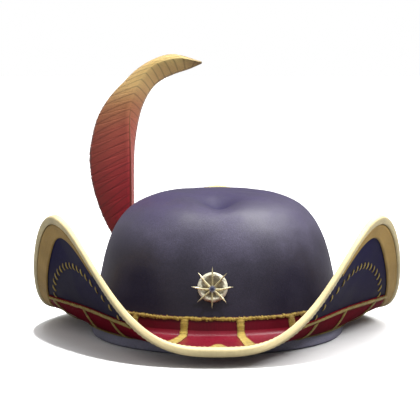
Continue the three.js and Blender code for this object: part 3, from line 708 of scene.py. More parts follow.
class Nodes:
    """Adds and joins the nodes of one tree."""

    def __init__(self, tree: bpy.types.NodeTree) -> None:
        """Keeps the tree."""
        self.tree = tree

    def add(self, kind: str, inputs: dict | None = None, **settings) -> bpy.types.Node:
        """Adds a node.

        Args:
            kind: Type of the node.
            inputs: For each input, a number, a colour or the output that feeds it.
            **settings: Properties of the node.

        Returns:
            The node.
        """
        node = self.tree.nodes.new(kind)
        for name, value in settings.items():
            setattr(node, name, value)
        for name, value in (inputs or {}).items():
            self.put(node.inputs[name], value)
        return node

    def put(self, socket: bpy.types.NodeSocket, value: Feed) -> None:
        """Feeds an input.

        Args:
            socket: The input.
            value: A number, a colour or the output that feeds it.
        """
        if isinstance(value, bpy.types.NodeSocket):
            self.tree.links.new(value, socket)
        else:
            socket.default_value = value

    def math(self, operation: str, first: Feed, second: Feed = 0.0) -> bpy.types.NodeSocket:
        """Adds a sum."""
        return self.add("ShaderNodeMath", {0: first, 1: second}, operation=operation).outputs[0]

    def split(self, vector: bpy.types.NodeSocket) -> bpy.types.bpy_prop_collection:
        """The three coordinates of a vector."""
        return self.add("ShaderNodeSeparateXYZ", {0: vector}).outputs

    def shaded(self, colour: Feed, shade: Feed) -> bpy.types.NodeSocket:
        """A colour times a shade."""
        return self.mix(1.0, colour, shade, "MULTIPLY")

    def mix(self, share: Feed, first: Feed, second: Feed,
            blend: str = "MIX") -> bpy.types.NodeSocket:
        """Mixes two colours.

        Args:
            share: How far towards the second.
            first: First colour or output.
            second: Second colour or output.
            blend: Blender's name of the way of mixing.

        Returns:
            The mixed colour.
        """
        node = self.add("ShaderNodeMix", data_type="RGBA", blend_type=blend)
        for index, value in ((0, share), (6, first), (7, second)):
            self.put(node.inputs[index], value)
        return node.outputs[2]

    def span(self, value: Feed, low: float, high: float, start: float = 0.0,
             end: float = 1.0) -> bpy.types.NodeSocket:
        """Maps low to start and high to end, smoothly and no further."""
        node = self.add("ShaderNodeMapRange", {"Value": value, "From Min": low,
                        "From Max": high, "To Min": start, "To Max": end},
                        interpolation_type="SMOOTHSTEP")
        return node.outputs["Result"]

    def ramp(self, value: Feed, stations: Stations) -> bpy.types.NodeSocket:
        """Gives a colour for each value.

        Args:
            value: Output from 0 to 1.
            stations: Pairs of a value and a screen colour, in rising order.

        Returns:
            The colour.
        """
        node = self.add("ShaderNodeValToRGB", {0: value})
        elements = node.color_ramp.elements
        while len(elements) < len(stations):
            elements.new(0.5)
        for element, (position, colour) in zip(elements, stations):
            element.position = position
            element.color = linear(*colour)
        return node.outputs["Color"]

    def noise(self, vector: bpy.types.NodeSocket, scale: float,
              detail: float = 2.0) -> bpy.types.NodeSocket:
        """Adds soft noise from 0 to 1, with scale grains for each unit."""
        node = self.add("ShaderNodeTexNoise", {"Vector": vector, "Scale": scale,
                        "Detail": detail})
        return node.outputs["Fac"]


class SharedGroups:
    """Effects that several finishes use, each built once."""

    def __init__(self) -> None:
        """Builds the groups."""
        self.felt_nap = self._felt_nap()
        self.woven_ribs = self._woven_ribs()
        self.twisted_thread = self._twisted_thread()

    def _start(self, name: str, inputs: tuple[str, ...],
               outputs: tuple[str, ...]) -> tuple[Nodes, bpy.types.Node, bpy.types.Node]:
        """Starts a group.

        Args:
            name: Name of the group.
            inputs: Its inputs, of which Place is a vector.
            outputs: Its outputs.

        Returns:
            The group's nodes, and those that stand for its inputs and its outputs.
        """
        tree = bpy.data.node_groups.new(name, "ShaderNodeTree")
        for label in inputs:
            kind = "NodeSocketVector" if label == "Place" else "NodeSocketFloat"
            tree.interface.new_socket(label, in_out="INPUT", socket_type=kind)
        for label in outputs:
            tree.interface.new_socket(label, in_out="OUTPUT", socket_type="NodeSocketFloat")
        nodes = Nodes(tree)
        return nodes, nodes.add("NodeGroupInput"), nodes.add("NodeGroupOutput")

    def _felt_nap(self) -> bpy.types.NodeTree:
        """Felt: soft clouds, short fibres that lie every way, and their height.

        Returns:
            The group's tree.
        """
        nodes, source, result = self._start("Felt nap", ("Place",), ("Clouds", "Fibres", "Height"))
        place = source.outputs["Place"]
        clouds = nodes.noise(place, scale=38, detail=3)
        drift = nodes.add("ShaderNodeTexNoise", {"Vector": place, "Scale": 420, "Detail": 1.0})
        small = nodes.add("ShaderNodeVectorMath", {0: drift.outputs["Color"], "Scale": 0.0022},
                          operation="SCALE")
        warped = nodes.add("ShaderNodeVectorMath", {0: place, 1: small.outputs[0]},
                           operation="ADD")
        fibres = nodes.noise(warped.outputs[0], scale=1500, detail=4)
        coarse = nodes.noise(place, scale=520, detail=2)
        height = nodes.math("ADD", fibres, nodes.math("MULTIPLY", coarse, 0.8))
        nodes.put(result.inputs["Clouds"], clouds)
        nodes.put(result.inputs["Fibres"], fibres)
        nodes.put(result.inputs["Height"], height)
        return nodes.tree

    def _woven_ribs(self) -> bpy.types.NodeTree:
        """Ribbon and braid: ribs across the cloth, crossed by threads, bent into a zigzag.

        Returns:
            The group's tree.
        """
        nodes, source, result = self._start(
            "Woven ribs", ("Place", "Rib pitch", "Thread pitch", "Zigzag"), ("Height", "Valley"))
        place = nodes.split(source.outputs["Place"])
        along, across = place[0], place[1]
        fold = nodes.math("PINGPONG", across, 1.1)
        bent = nodes.math("ADD", along, nodes.math("MULTIPLY", fold, source.outputs["Zigzag"]))
        turns = nodes.math("DIVIDE", bent, source.outputs["Rib pitch"])
        rib = nodes.math("SINE", nodes.math("MULTIPLY", turns, FULL_TURN))
        cross = nodes.math("DIVIDE", across, source.outputs["Thread pitch"])
        parity = nodes.math("MULTIPLY", nodes.math("FLOOR", turns), math.pi)
        thread = nodes.math("SINE", nodes.math("ADD", nodes.math("MULTIPLY", cross, FULL_TURN),
                                               parity))
        height = nodes.math("ADD", rib, nodes.math("MULTIPLY", thread, 0.45))
        # Hollows of the weave, where the finishes paint shade.
        valley_shade = nodes.span(height, -0.2, -1.2)
        nodes.put(result.inputs["Height"], height)
        nodes.put(result.inputs["Valley"], valley_shade)
        return nodes.tree

    def _twisted_thread(self) -> bpy.types.NodeTree:
        """Thread: plies that wind round it, and the grooves between them where shade is painted.

        Returns:
            The group's tree.
        """
        nodes, source, result = self._start("Twisted thread", ("Place", "Twist pitch"),
                                            ("Height", "Valley"))
        place = nodes.split(source.outputs["Place"])
        turns = nodes.math("ADD", place[1],
                           nodes.math("DIVIDE", place[0], source.outputs["Twist pitch"]))
        ply = nodes.math("SINE", nodes.math("MULTIPLY", turns, 2 * FULL_TURN))
        nodes.put(result.inputs["Height"], ply)
        nodes.put(result.inputs["Valley"], nodes.span(ply, 0.1, -1.0))
        return nodes.tree


class Finish:
    """A material under way: its nodes, its main shader and its places."""

    def __init__(self, name: str, groups: SharedGroups) -> None:
        """Starts a material.

        Args:
            name: Name of the material.
            groups: The shared effects.
        """
        self.material = bpy.data.materials.new(name)
        self.material.use_nodes = True
        self.nodes = Nodes(self.material.node_tree)
        self.shader = self.material.node_tree.nodes["Principled BSDF"]
        self.groups = groups
        self.place = self.nodes.add("ShaderNodeTexCoord").outputs["Object"]
        self.cloth = self.nodes.add("ShaderNodeUVMap", uv_map="Cloth").outputs["UV"]
        self.tone = self.nodes.add("ShaderNodeAttribute", attribute_name="Tone").outputs["Fac"]

    def group(self, tree: bpy.types.NodeTree, inputs: dict) -> bpy.types.Node:
        """Adds a shared effect."""
        return self.nodes.add("ShaderNodeGroup", inputs, node_tree=tree)

    def feed(self, **inputs) -> None:
        """Feeds the shader's inputs, named with underscores for spaces."""
        for name, value in inputs.items():
            self.nodes.put(self.shader.inputs[name.replace("_", " ")], value)

    def bump(self, height: bpy.types.NodeSocket, depth_mm: float, strength: float = 1.0) -> None:
        """Roughens the surface; depth_mm is what one unit of height stands for."""
        node = self.nodes.add("ShaderNodeBump", {"Height": height, "Distance": depth_mm * MM,
                              "Strength": strength})
        self.feed(Normal=node.outputs["Normal"])


@dataclass(frozen=True)
class Look(ABC):
    """A finish that can be built as a material."""

    name: str

    def build(self, groups: SharedGroups) -> bpy.types.Material:
        """Makes the material.

        Args:
            groups: The shared effects.

        Returns:
            The material.
        """
        finish = Finish(self.name, groups)
        self.paint(finish)
        return finish.material

    @abstractmethod
    def paint(self, finish: Finish) -> None:
        """Adds the nodes of this look; each kind has its own."""


@dataclass(frozen=True)
class FeltFinish(Look):
    """Brushed felt, coloured by height, partly as painted light and shade; painted shade in the
    thumb mark.
    """

    colour_and_painted_shade_by_height: tuple[tuple[float, Colour], ...]
    dent_painted_shade: Colour | None = None
    roughness: float = 0.5
    sheen: float = 0.1
    sheen_tint: Colour = (190, 182, 215)
    specular: float = 0.5

    def paint(self, finish: Finish) -> None:
        """Adds the nodes.

        Args:
            finish: The material under way.
        """
        nodes = finish.nodes
        nap = finish.group(finish.groups.felt_nap, {"Place": finish.place})
        clouds = nodes.span(nap.outputs["Clouds"], 0.3, 0.7)
        height = nodes.split(finish.place)[2]
        drift = nodes.math("MULTIPLY", nodes.math("SUBTRACT", clouds, 0.5), 0.006)
        # The colour by height paints light and shade: on the crown lighter on the collar under the
        # brim, darker low on the wall and on the violet top.
        colour = nodes.ramp(nodes.math("MULTIPLY", nodes.math("ADD", height, drift), 10),
                            [(10 * place, colour) for place, colour in self.colour_and_painted_shade_by_height])
        # Painted shade in the thumb mark, by the tone that carries its depth.
        if self.dent_painted_shade:
            colour = nodes.mix(finish.tone, colour, linear(*self.dent_painted_shade))
        colour = nodes.shaded(colour, nodes.span(clouds, 0, 1, 0.88, 1.1))
        fibres = nodes.span(nap.outputs["Fibres"], 0.35, 0.7, 0.74, 1.22)
        colour = nodes.shaded(colour, fibres)
        rough = nodes.span(clouds, 0, 1, self.roughness - 0.05, self.roughness + 0.07)
        finish.feed(Base_Color=colour, Roughness=rough, Sheen_Weight=self.sheen,
                    Sheen_Roughness=0.45, Sheen_Tint=linear(*self.sheen_tint),
                    Specular_IOR_Level=self.specular)
        finish.bump(nap.outputs["Height"], depth_mm=0.12, strength=0.55)


@dataclass(frozen=True)
class RibbonFinish(Look):
    """Woven ribbon, binding or braid, with painted shade in the weave's hollows."""

    ground: Colour
    valley_shade: Colour
    depth_mm: float
    roughness: float
    rib_pitch: float = 0.9
    thread_pitch: float = 0.5
    zigzag: float = 0
    sheen: float = 0.0
    mottle: float = 0.12
    specular: float = 0.4

    def paint(self, finish: Finish) -> None:
        """Adds the nodes.

        Args:
            finish: The material under way.
        """
        nodes = finish.nodes
        weave = finish.group(finish.groups.woven_ribs, {
            "Place": finish.cloth, "Rib pitch": self.rib_pitch,
            "Thread pitch": self.thread_pitch, "Zigzag": self.zigzag})
        # Painted shade in the weave's hollows.
        colour = nodes.mix(weave.outputs["Valley"], linear(*self.ground), linear(*self.valley_shade))
        clouds = nodes.noise(finish.place, scale=60, detail=3)
        shade = nodes.span(clouds, 0.3, 0.7, 1 - self.mottle, 1 + self.mottle)
        colour = nodes.shaded(colour, shade)
        fine = nodes.noise(finish.place, scale=900, detail=2)
        rough = nodes.span(fine, 0.3, 0.7, self.roughness - 0.06, self.roughness + 0.08)
        finish.feed(Base_Color=colour, Roughness=rough, Sheen_Weight=self.sheen,
                    Sheen_Roughness=0.35, Specular_IOR_Level=self.specular)
        finish.bump(weave.outputs["Height"], depth_mm=self.depth_mm, strength=0.6)


@dataclass(frozen=True)
class ThreadFinish(Look):
    """Twisted thread, with a tone of its own for each strand and painted shade between the plies.
    """

    dark: Colour
    light: Colour
    metallic: float
    roughness: float
    twist_pitch: float = 1.2

    def paint(self, finish: Finish) -> None:
        """Adds the nodes.

        Args:
            finish: The material under way.
        """
        nodes = finish.nodes
        twist = finish.group(finish.groups.twisted_thread, {
            "Place": finish.cloth, "Twist pitch": self.twist_pitch})
        colour = nodes.mix(finish.tone, linear(*self.dark), linear(*self.light))
        worn = nodes.span(nodes.noise(finish.place, scale=140, detail=3), 0.35, 0.7)
        colour = nodes.mix(nodes.math("MULTIPLY", worn, 0.5), colour, linear(*self.dark))
        # Painted shade in the grooves between the plies.
        shade = nodes.span(twist.outputs["Valley"], 0, 1, 1.0, 0.62)
        colour = nodes.shaded(colour, shade)
        rough = nodes.span(finish.tone, 0, 1, self.roughness - 0.06, self.roughness + 0.1)
        finish.feed(Base_Color=colour, Roughness=rough, Metallic=self.metallic,
                    Sheen_Weight=0.1)
        finish.bump(twist.outputs["Height"], depth_mm=0.06, strength=0.5)


@dataclass(frozen=True)
class BrassFinish(Look):
    """Cast pale brass, dark where the tone is high and rusty towards a low edge."""

    bright: Colour
    recess: Colour
    rust: Colour
    roughness: float
    metallic: float
    specular: float
    rust_below: float
    rust_above: float

    def paint(self, finish: Finish) -> None:
        """Adds the nodes.

        Args:
            finish: The material under way.
        """
        nodes = finish.nodes
        spots = nodes.noise(finish.place, scale=420, detail=4)
        colour = nodes.mix(finish.tone, linear(*self.bright), linear(*self.recess))
        stain = nodes.span(spots, 0.42, 0.72)
        colour = nodes.mix(nodes.math("MULTIPLY", stain, 0.5), colour, linear(*self.recess))
        height = nodes.split(finish.place)[2]
        low = nodes.span(height, self.rust_above, self.rust_below)
        flecks = nodes.span(nodes.noise(finish.place, scale=260, detail=2), 0.4, 0.62)
        rusty = nodes.math("MULTIPLY", low, flecks)
        colour = nodes.mix(rusty, colour, linear(*self.rust))
        rough = nodes.span(spots, 0.3, 0.75, self.roughness - 0.08, self.roughness + 0.2)
        metal = nodes.math("SUBTRACT", self.metallic, nodes.math("MULTIPLY", rusty, 0.3))
        finish.feed(Base_Color=colour, Roughness=rough, Metallic=metal,
                    Specular_IOR_Level=self.specular)
        finish.bump(spots, depth_mm=0.12, strength=0.5)


@dataclass(frozen=True)
class EnamelFinish(Look):
    """Blue-grey enamel that darkens to the middle."""

    rim: Colour
    middle: Colour

    def paint(self, finish: Finish) -> None:
        """Adds the nodes.

        Args:
            finish: The material under way.
        """
        nodes = finish.nodes
        grain = nodes.noise(finish.place, scale=1500, detail=2)
        colour = nodes.mix(finish.tone, linear(*self.rim), linear(*self.middle))
        shade = nodes.span(grain, 0.3, 0.7, 0.85, 1.12)
        finish.feed(Base_Color=nodes.shaded(colour, shade),
                    Roughness=nodes.span(grain, 0.3, 0.7, 0.28, 0.42), Coat_Weight=0.3)
        finish.bump(grain, depth_mm=0.03, strength=0.4)


@dataclass(frozen=True)
class FeatherFinish(Look):
    """Dyed feather: a colour for each station from foot to tip, crossed by dark bars of dye and
    painted shade, with painted shade towards the outer edge and painted light on the inner side.
    """

    stations: tuple[tuple[float, Colour], ...]
    bars: int
    bar_width: float
    bar_depth: float
    bar_lift: float = 0.022
    bar_crowding: float = 0.65
    edge_shade: float = 0.34
    inner_light: float = 0.14
    bar_dye_and_painted_shade: Colour = (52, 28, 30)
    edge_painted_shade_colour: Colour = (98, 42, 30)
    inner_painted_light_colour: Colour = (210, 140, 116)

    def paint(self, finish: Finish) -> None:
        """Adds the nodes.

        Args:
            finish: The material under way.
        """
        nodes = finish.nodes
        place = nodes.split(finish.cloth)
        station, across = place[0], place[1]
        dye = nodes.ramp(station, self.stations)
        bent = nodes.math("POWER", nodes.math("ABSOLUTE", across), 1.5)
        outward = nodes.math("MULTIPLY", bent, self.bar_lift)
        level = nodes.math("ADD", nodes.math("POWER", station, self.bar_crowding), outward)
        phase = nodes.math("FRACT", nodes.math("MULTIPLY", level, self.bars))
        away = nodes.math("ABSOLUTE", nodes.math("SUBTRACT", phase, 0.5))
        bar = nodes.span(away, self.bar_width, 0.0, 0.0, self.bar_depth)
        fade = nodes.span(station, 0.02, 0.12)
        bar = nodes.math("MULTIPLY", bar, fade)
        streak_place = nodes.add("ShaderNodeCombineXYZ", {
            0: nodes.math("MULTIPLY", station, 900), 1: nodes.math("MULTIPLY", across, 3)})
        streaks = nodes.noise(streak_place.outputs[0], scale=1.0, detail=3)
        shade = nodes.span(streaks, 0.3, 0.7, 0.86, 1.12)
        colour = nodes.shaded(dye, shade)
        # Dark bars: dye, and painted shade of the gaps between the locks.
        colour = nodes.mix(bar, colour, linear(*self.bar_dye_and_painted_shade))
        # Painted shade towards the outer edge, for the vane's rounding.
        outer = nodes.span(across, -0.25, -1.0, 0.0, self.edge_shade)
        colour = nodes.mix(outer, colour, linear(*self.edge_painted_shade_colour))
        # Painted light on the inner side.
        inner = nodes.span(across, 0.05, 0.5, 0.0, self.inner_light)
        colour = nodes.mix(inner, colour, linear(*self.inner_painted_light_colour))
        rough = nodes.span(streaks, 0.3, 0.7, 0.46, 0.62)
        finish.feed(Base_Color=colour, Roughness=rough, Sheen_Weight=0.25, Sheen_Roughness=0.4)
        finish.bump(streaks, depth_mm=0.08, strength=0.35)


@dataclass(frozen=True)
class LeatherFinish(Look):
    """Dark grained leather."""

    base: Colour
    worn: Colour

    def paint(self, finish: Finish) -> None:
        """Adds the nodes.

        Args:
            finish: The material under way.
        """
        nodes = finish.nodes
        cells = nodes.add("ShaderNodeTexVoronoi", {"Vector": finish.place, "Scale": 950})
        wear = nodes.span(nodes.noise(finish.place, scale=160, detail=3), 0.45, 0.75)
        colour = nodes.mix(wear, linear(*self.base), linear(*self.worn))
        rough = nodes.span(wear, 0, 1, 0.5, 0.36)
        finish.feed(Base_Color=colour, Roughness=rough)
        finish.bump(cells.outputs["Distance"], depth_mm=0.15, strength=0.6)


class Wardrobe:
    """All the finishes of the hat."""

    def __init__(self) -> None:
        """Builds each material once."""
        groups = SharedGroups()
        # The crown's heights: painted light on the collar under the brim, painted shade low on the
        # wall and on the top.
        self.crown = FeltFinish(
            "crown_felt",
            colour_and_painted_shade_by_height=((0.0, (132, 130, 150)), (0.009, (124, 122, 142)), (0.014, (34, 30, 43)),
                     (0.030, (30, 27, 40)), (0.058, (44, 41, 54)), (0.078, (66, 62, 80)),
                     (0.093, (48, 41, 68)), (0.099, (38, 29, 62))),
            dent_painted_shade=(16, 4, 52), roughness=0.47, sheen=0.04).build(groups)
        self.brim = FeltFinish(
            "brim_felt", colour_and_painted_shade_by_height=((0.0, (48, 42, 58)), (0.03, (42, 37, 58)), (0.06, (34, 30, 62)),
                                  (0.09, (30, 26, 64))),
            roughness=0.62, sheen=0.0, specular=0.08).build(groups)
        self.ribbon = RibbonFinish(
            "crimson_ribbon", ground=(106, 4, 27), valley_shade=(78, 2, 19), depth_mm=0.025,
            roughness=0.33, specular=0.45).build(groups)
        self.outer_ribbon = RibbonFinish(
            "outer_crimson_ribbon", ground=(116, 4, 28), valley_shade=(84, 2, 18), depth_mm=0.03,
            roughness=0.6, specular=0.05).build(groups)
        # A darker copy of the crimson ribbon: painted shade on the crown's upright wall.
        self.crown_ribbon = RibbonFinish(
            "crimson_ribbon_painted_shade", ground=(80, 3, 20), valley_shade=(56, 2, 13), depth_mm=0.04,
            roughness=0.42, specular=0.25).build(groups)
        self.binding = RibbonFinish(
            "cream_binding", ground=(216, 200, 154), valley_shade=(180, 160, 110), rib_pitch=0.75,
            thread_pitch=0.6, depth_mm=0.06, roughness=0.42, sheen=0.15).build(groups)
        self.braid = RibbonFinish(
            "tan_braid", ground=(176, 144, 84), valley_shade=(138, 110, 58), rib_pitch=1.0,
            thread_pitch=0.7, zigzag=0.9, depth_mm=0.12, roughness=0.55,
            specular=0.25).build(groups)
        self.gold = ThreadFinish(
            "gold_thread", dark=(140, 114, 42), light=(202, 176, 84), metallic=0.1,
            roughness=0.4).build(groups)
        self.cream_thread = ThreadFinish(
            "cream_thread", dark=(205, 186, 138), light=(240, 230, 196), metallic=0.0,
            roughness=0.5).build(groups)
        self.boss = BrassFinish(
            "boss_brass", bright=(212, 209, 188), recess=(86, 62, 10), rust=(104, 60, 20),
            roughness=0.4, metallic=0.15, specular=0.12, rust_below=0.0345,
            rust_above=0.0375).build(groups)
        self.star = BrassFinish(
            "star_brass", bright=(246, 238, 198), recess=(120, 102, 58), rust=(150, 96, 40),
            roughness=0.28, metallic=0.5, specular=0.5, rust_below=0.0,
            rust_above=0.01).build(groups)
        self.hub = EnamelFinish("hub_enamel", rim=(96, 98, 116), middle=(34, 36, 62)).build(groups)
        self.feather = FeatherFinish(
            "feather_dye_and_painted_shade",
            stations=((0.0, (84, 2, 18)), (0.06, (124, 6, 28)), (0.14, (152, 26, 42)),
                      (0.3, (170, 60, 60)), (0.46, (182, 94, 76)), (0.56, (192, 132, 90)),
                      (0.66, (236, 200, 134)), (0.9, (224, 198, 128)), (1.0, (132, 114, 76))),
            bars=34, bar_width=0.15, bar_depth=0.42).build(groups)
        self.quill = FeatherFinish(
            "feather_quill",
            stations=((0.0, (96, 20, 28)), (0.5, (120, 52, 40)), (1.0, (190, 158, 100))),
            bars=1, bar_width=0.02, bar_depth=0.0).build(groups)
        self.leather = LeatherFinish(
            "socket_leather", base=(34, 30, 36), worn=(58, 50, 56)).build(groups)


# The hat's parts


def ripple(angle: Numbers, place: Numbers, size: float, seed: int) -> np.ndarray:
    """Soft unevenness of something made by hand.

    Args:
        angle: Angles round the hat.
        place: A second coordinate, in turns of about one.
        size: Greatest height in millimetres.
        seed: Seed of the waves.

    Returns:
        Heights.
    """
    random = np.random.default_rng(seed)
    total = 0
    for waves in (3, 5, 8, 13):
        lag, tilt = random.uniform(0, FULL_TURN), random.uniform(2, 7)
        total = total + np.sin(waves * angle + tilt * place + lag) / waves ** 0.5
    return size * total / 2.2


@dataclass
class Crown:
    """The crown's felt and the ribbon round it."""

    form: HatForm
    columns: int = 260
    outside_rows: int = 150
    inside_rows: int = 60
    unevenness: float = 0.35
    uneven_from: float = 2.6
    uneven_ease: float = 2
    inside_end: float = 0.3
    band_columns: int = 720
    band_rows: int = 12
    band_thick: float = 0.8
    band_edge: float = 0.45

    def dress(self, looks: Wardrobe) -> None:
        """Builds the shell and the ribbon and gives them their finishes."""
        self.shell().build(looks.crown, Slot.FELT, ("crown",), weld=True)
        self.band().build(looks.crown_ribbon, Slot.RIBBON, ("crown_band",))

    def shell(self) -> MeshBuilder:
        """Makes the shell, from its foot up the outside and down the inside.

        Returns:
            The shell.
        """
        form, size = self.form, self.form.crown_sizes
        angle = around(self.columns)
        foot = np.array(CROWN_FOOT)
        rim = form.plan(angle, foot[:, 0], foot[:, 1])
        last = form.profile.last
        knots = np.linspace(0, last, self.outside_rows)[None, :]
        uneven = ripple(angle, knots / 4, self.unevenness, 3)
        for reach in (knots - self.uneven_from, last - knots):
            uneven = uneven * np.clip(reach / self.uneven_ease, 0, 1)
        outside = form.crown(angle, knots, uneven)
        inner = np.linspace(last, self.inside_end, self.inside_rows)[None, :]
        inside = form.crown(angle, inner, -size.felt)
        points = np.concatenate([rim, outside, inside], axis=1)
        # The tone carries the dent's depth, for the painted shade in the thumb mark.
        depth = form.dent_depth(form.crown_base(angle, knots)) / size.dent_depth
        tone = np.zeros(points.shape[:2])
        tone[:, len(foot):len(foot) + self.outside_rows] = np.clip(depth, 0, 1)
        return MeshBuilder("crown_felt_shell").grid(points, ring=True, tube=True, tone=tone)

    def band(self) -> MeshBuilder:
        """Makes the ribbon round the crown's foot.

        Returns:
            The ribbon.
        """
        angle = around(self.band_columns)
        size = self.form.crown_sizes
        height = np.linspace(size.band_bottom, size.line_top, self.band_rows)[None, :]
        outer = np.full((1, self.band_rows), GAP + self.band_thick)
        outer[0, [0, -1]] = GAP + self.band_edge
        far = self.form.crown_wall(angle, height, outer)
        near = self.form.crown_wall(angle, height[:, ::-1], GAP)
        skins = np.concatenate([far, near], axis=1)
        return MeshBuilder("crown_ribbon").grid(skins, ring=True, tube=True)


@dataclass
class Brim:
    """The brim's felt, its ribbons, braids and binding."""

    form: HatForm
    lines: BrimLines
    columns: int = 480
    felt_rows: int = 44
    ribbon_columns: int = 720
    ribbon_rows: int = 26
    ribbon_thick: float = 0.8
    ribbon_edge: float = 0.45
    ribbon_root: float = 0.004
    fold_rows: int = 12
    fold_tuck: float = 0.1
    braid_columns: int = 900
    braid_rows: int = 15
    braid_inset: float = 1.5
    braid_thick: float = 0.85
    braid_side: float = 0.25
    braid_squareness: int = 10
    cord_height: float = 0.3
    cord_place: float = 0.1
    cord_width: float = 0.07
    binding_columns: int = 900
    binding_reach: float = 3.15
    binding_nose: float = 0.2
    binding_slot: float = 1.45
    binding_floor: float = 0.3
    binding_cap_power: float = 0.62
    binding_puff: float = 0.012
    binding_wave: float = 0.006
    binding_waves: int = 160
    lip_profile: tuple[tuple[float, float], ...] = ((0.08, 0), (0, 0.5), (0.2, 0.85), (0.8, 0.985))
    slope_turns: tuple[float, float, float] = (24, 44, 60)
    slope_thinning: float = 0.22
    stitch_pitch: float = 3.4
    stitch_length: float = 2.3
    stitch_radius: float = 0.2
    stitch_inset: float = 1.0
    stitch_least: float = 0.1
    stitch_arch: tuple[float, ...] = (-0.25, 0.05, 0.12, 0.12, 0.05, -0.25)

    def dress(self, looks: Wardrobe) -> None:
        """Builds the brim's pieces and gives them their finishes.

        Args:
            looks: The hat's finishes.
        """
        self.felt().build(looks.brim, Slot.FELT, ("brim",))
        self.ribbon(Face.UPPER, "brim_ribbon_inner").build(
            looks.ribbon, Slot.RIBBON, ("brim_band_inner",))
        self.ribbon(Face.UNDER, "brim_ribbon_outer").build(
            looks.outer_ribbon, Slot.RIBBON, ("brim_band_outer",))
        self.braid(Face.UPPER, "braid_inner").build(
            looks.braid, Slot.BRAID, ("edge_braid_inner",))
        self.braid(Face.UNDER, "braid_outer").build(
            looks.braid, Slot.BRAID, ("edge_braid_outer",))
        self.binding().build(looks.binding, Slot.BINDING, ("edge_binding",))
        self.stitches().build(looks.cream_thread, Slot.BINDING)

    def _rows(self, start: Numbers, end: Numbers, count: int) -> np.ndarray:
        """Evenly spaced values from start to end along a new last axis."""
        return lerp(start, end, np.linspace(0, 1, count)[None, :])

    def felt(self) -> MeshBuilder:
        """Makes the felt.

        Returns:
            The felt.
        """
        angle = around(self.columns)
        share = self._rows(0, self.lines.at(self.lines.felt, angle), self.felt_rows)
        upper = self.form.brim_face(angle, share, Face.UPPER, 0)
        under = self.form.brim_face(angle, share[:, ::-1], Face.UNDER, 0)
        skins = np.concatenate([upper, under], axis=1)
        return MeshBuilder("brim_felt_sheet").grid(skins, ring=True, tube=True)

    def ribbon(self, face: Face, name: str) -> MeshBuilder:
        """Makes the ribbon on one face.

        Args:
            face: Which face.
            name: Name of the piece.

        Returns:
            The ribbon.
        """
        angle = around(self.ribbon_columns)
        form, upper = self.form, face is Face.UPPER
        end = self.lines.at(self.lines.ribbon_end, angle)
        start = form.brim_sizes.fold_share if upper else self.ribbon_root
        share = self._rows(start, end, self.ribbon_rows)
        outer = np.full(share.shape, GAP + self.ribbon_thick)
        outer[:, -1] = GAP + self.ribbon_edge
        near = form.brim_face(angle, share[:, ::-1], face, GAP)
        far = form.brim_face(angle, share, face, outer)
        skins = [far, near]
        if upper:
            spot = np.linspace(0, 1, self.fold_rows + 1)[None, :-1]
            lifted = np.full((1, self.fold_rows), GAP + self.ribbon_thick)
            lifted[0, 0] = GAP + self.ribbon_thick - self.fold_tuck
            skins = [form.fold(angle, spot, lifted), far, near,
                     form.fold(angle, spot[:, ::-1], GAP)]
        return MeshBuilder(name).grid(np.concatenate(skins, axis=1), ring=True, tube=True)

    def braid(self, face: Face, name: str) -> MeshBuilder:
        """Makes the flat braid inside the binding, with a cord along either side.

        Args:
            face: Which face.
            name: Name of the piece.

        Returns:
            The braid.
        """
        lines = self.lines
        start = math.radians(self.form.brim_sizes.braid_from + self.braid_inset)
        angle = np.linspace(start, FULL_TURN - start, self.braid_columns)[:, None]
        share = self._rows(lines.at(lines.braid_in, angle), lines.at(lines.edge, angle),
                           self.braid_rows)
        row = np.linspace(0, 1, self.braid_rows)
        cords = sum(np.exp(-((row - place) / self.cord_width) ** 2)
                    for place in (self.cord_place, 1 - self.cord_place))
        rounded = 1 - np.abs(2 * row - 1) ** self.braid_squareness
        top = GAP + lerp(self.braid_side, self.braid_thick, rounded) + self.cord_height * cords
        far = self.form.brim_face(angle, share, face, top)
        near = self.form.brim_face(angle, share[:, ::-1], face, GAP)
        return MeshBuilder(name).grid(np.concatenate([far, near], axis=1), tube=True)

    def _edge_frame(self, angle: np.ndarray) -> tuple[np.ndarray, np.ndarray, np.ndarray]:
        """Middle of the binding and the directions across it.

        Args:
            angle: Angles round the hat.

        Returns:
            Middle points, directions out of the edge and directions up from the brim.
        """
        share = np.ones_like(angle)
        run = unit(self.form.brim_along(angle, share))
        up = self.form.brim_normal(angle, share)
        return self.form.brim(angle, share), unit(np.cross(up, run)), up

    def _trim(self, angle: np.ndarray) -> tuple[np.ndarray, np.ndarray]:
        """How far the binding's lips reach in and half its thickness, slimmer on the slopes.

        Args:
            angle: Angles round the hat.

        Returns:
            Both sizes, each with a new last axis.
        """
        lip, half, _ = edge_trim(angle)
        slope = np.interp(turn_from_front(angle), self.slope_turns, (0, self.slope_thinning, 0))
        return lip[..., None], (half * (1 - slope))[..., None]

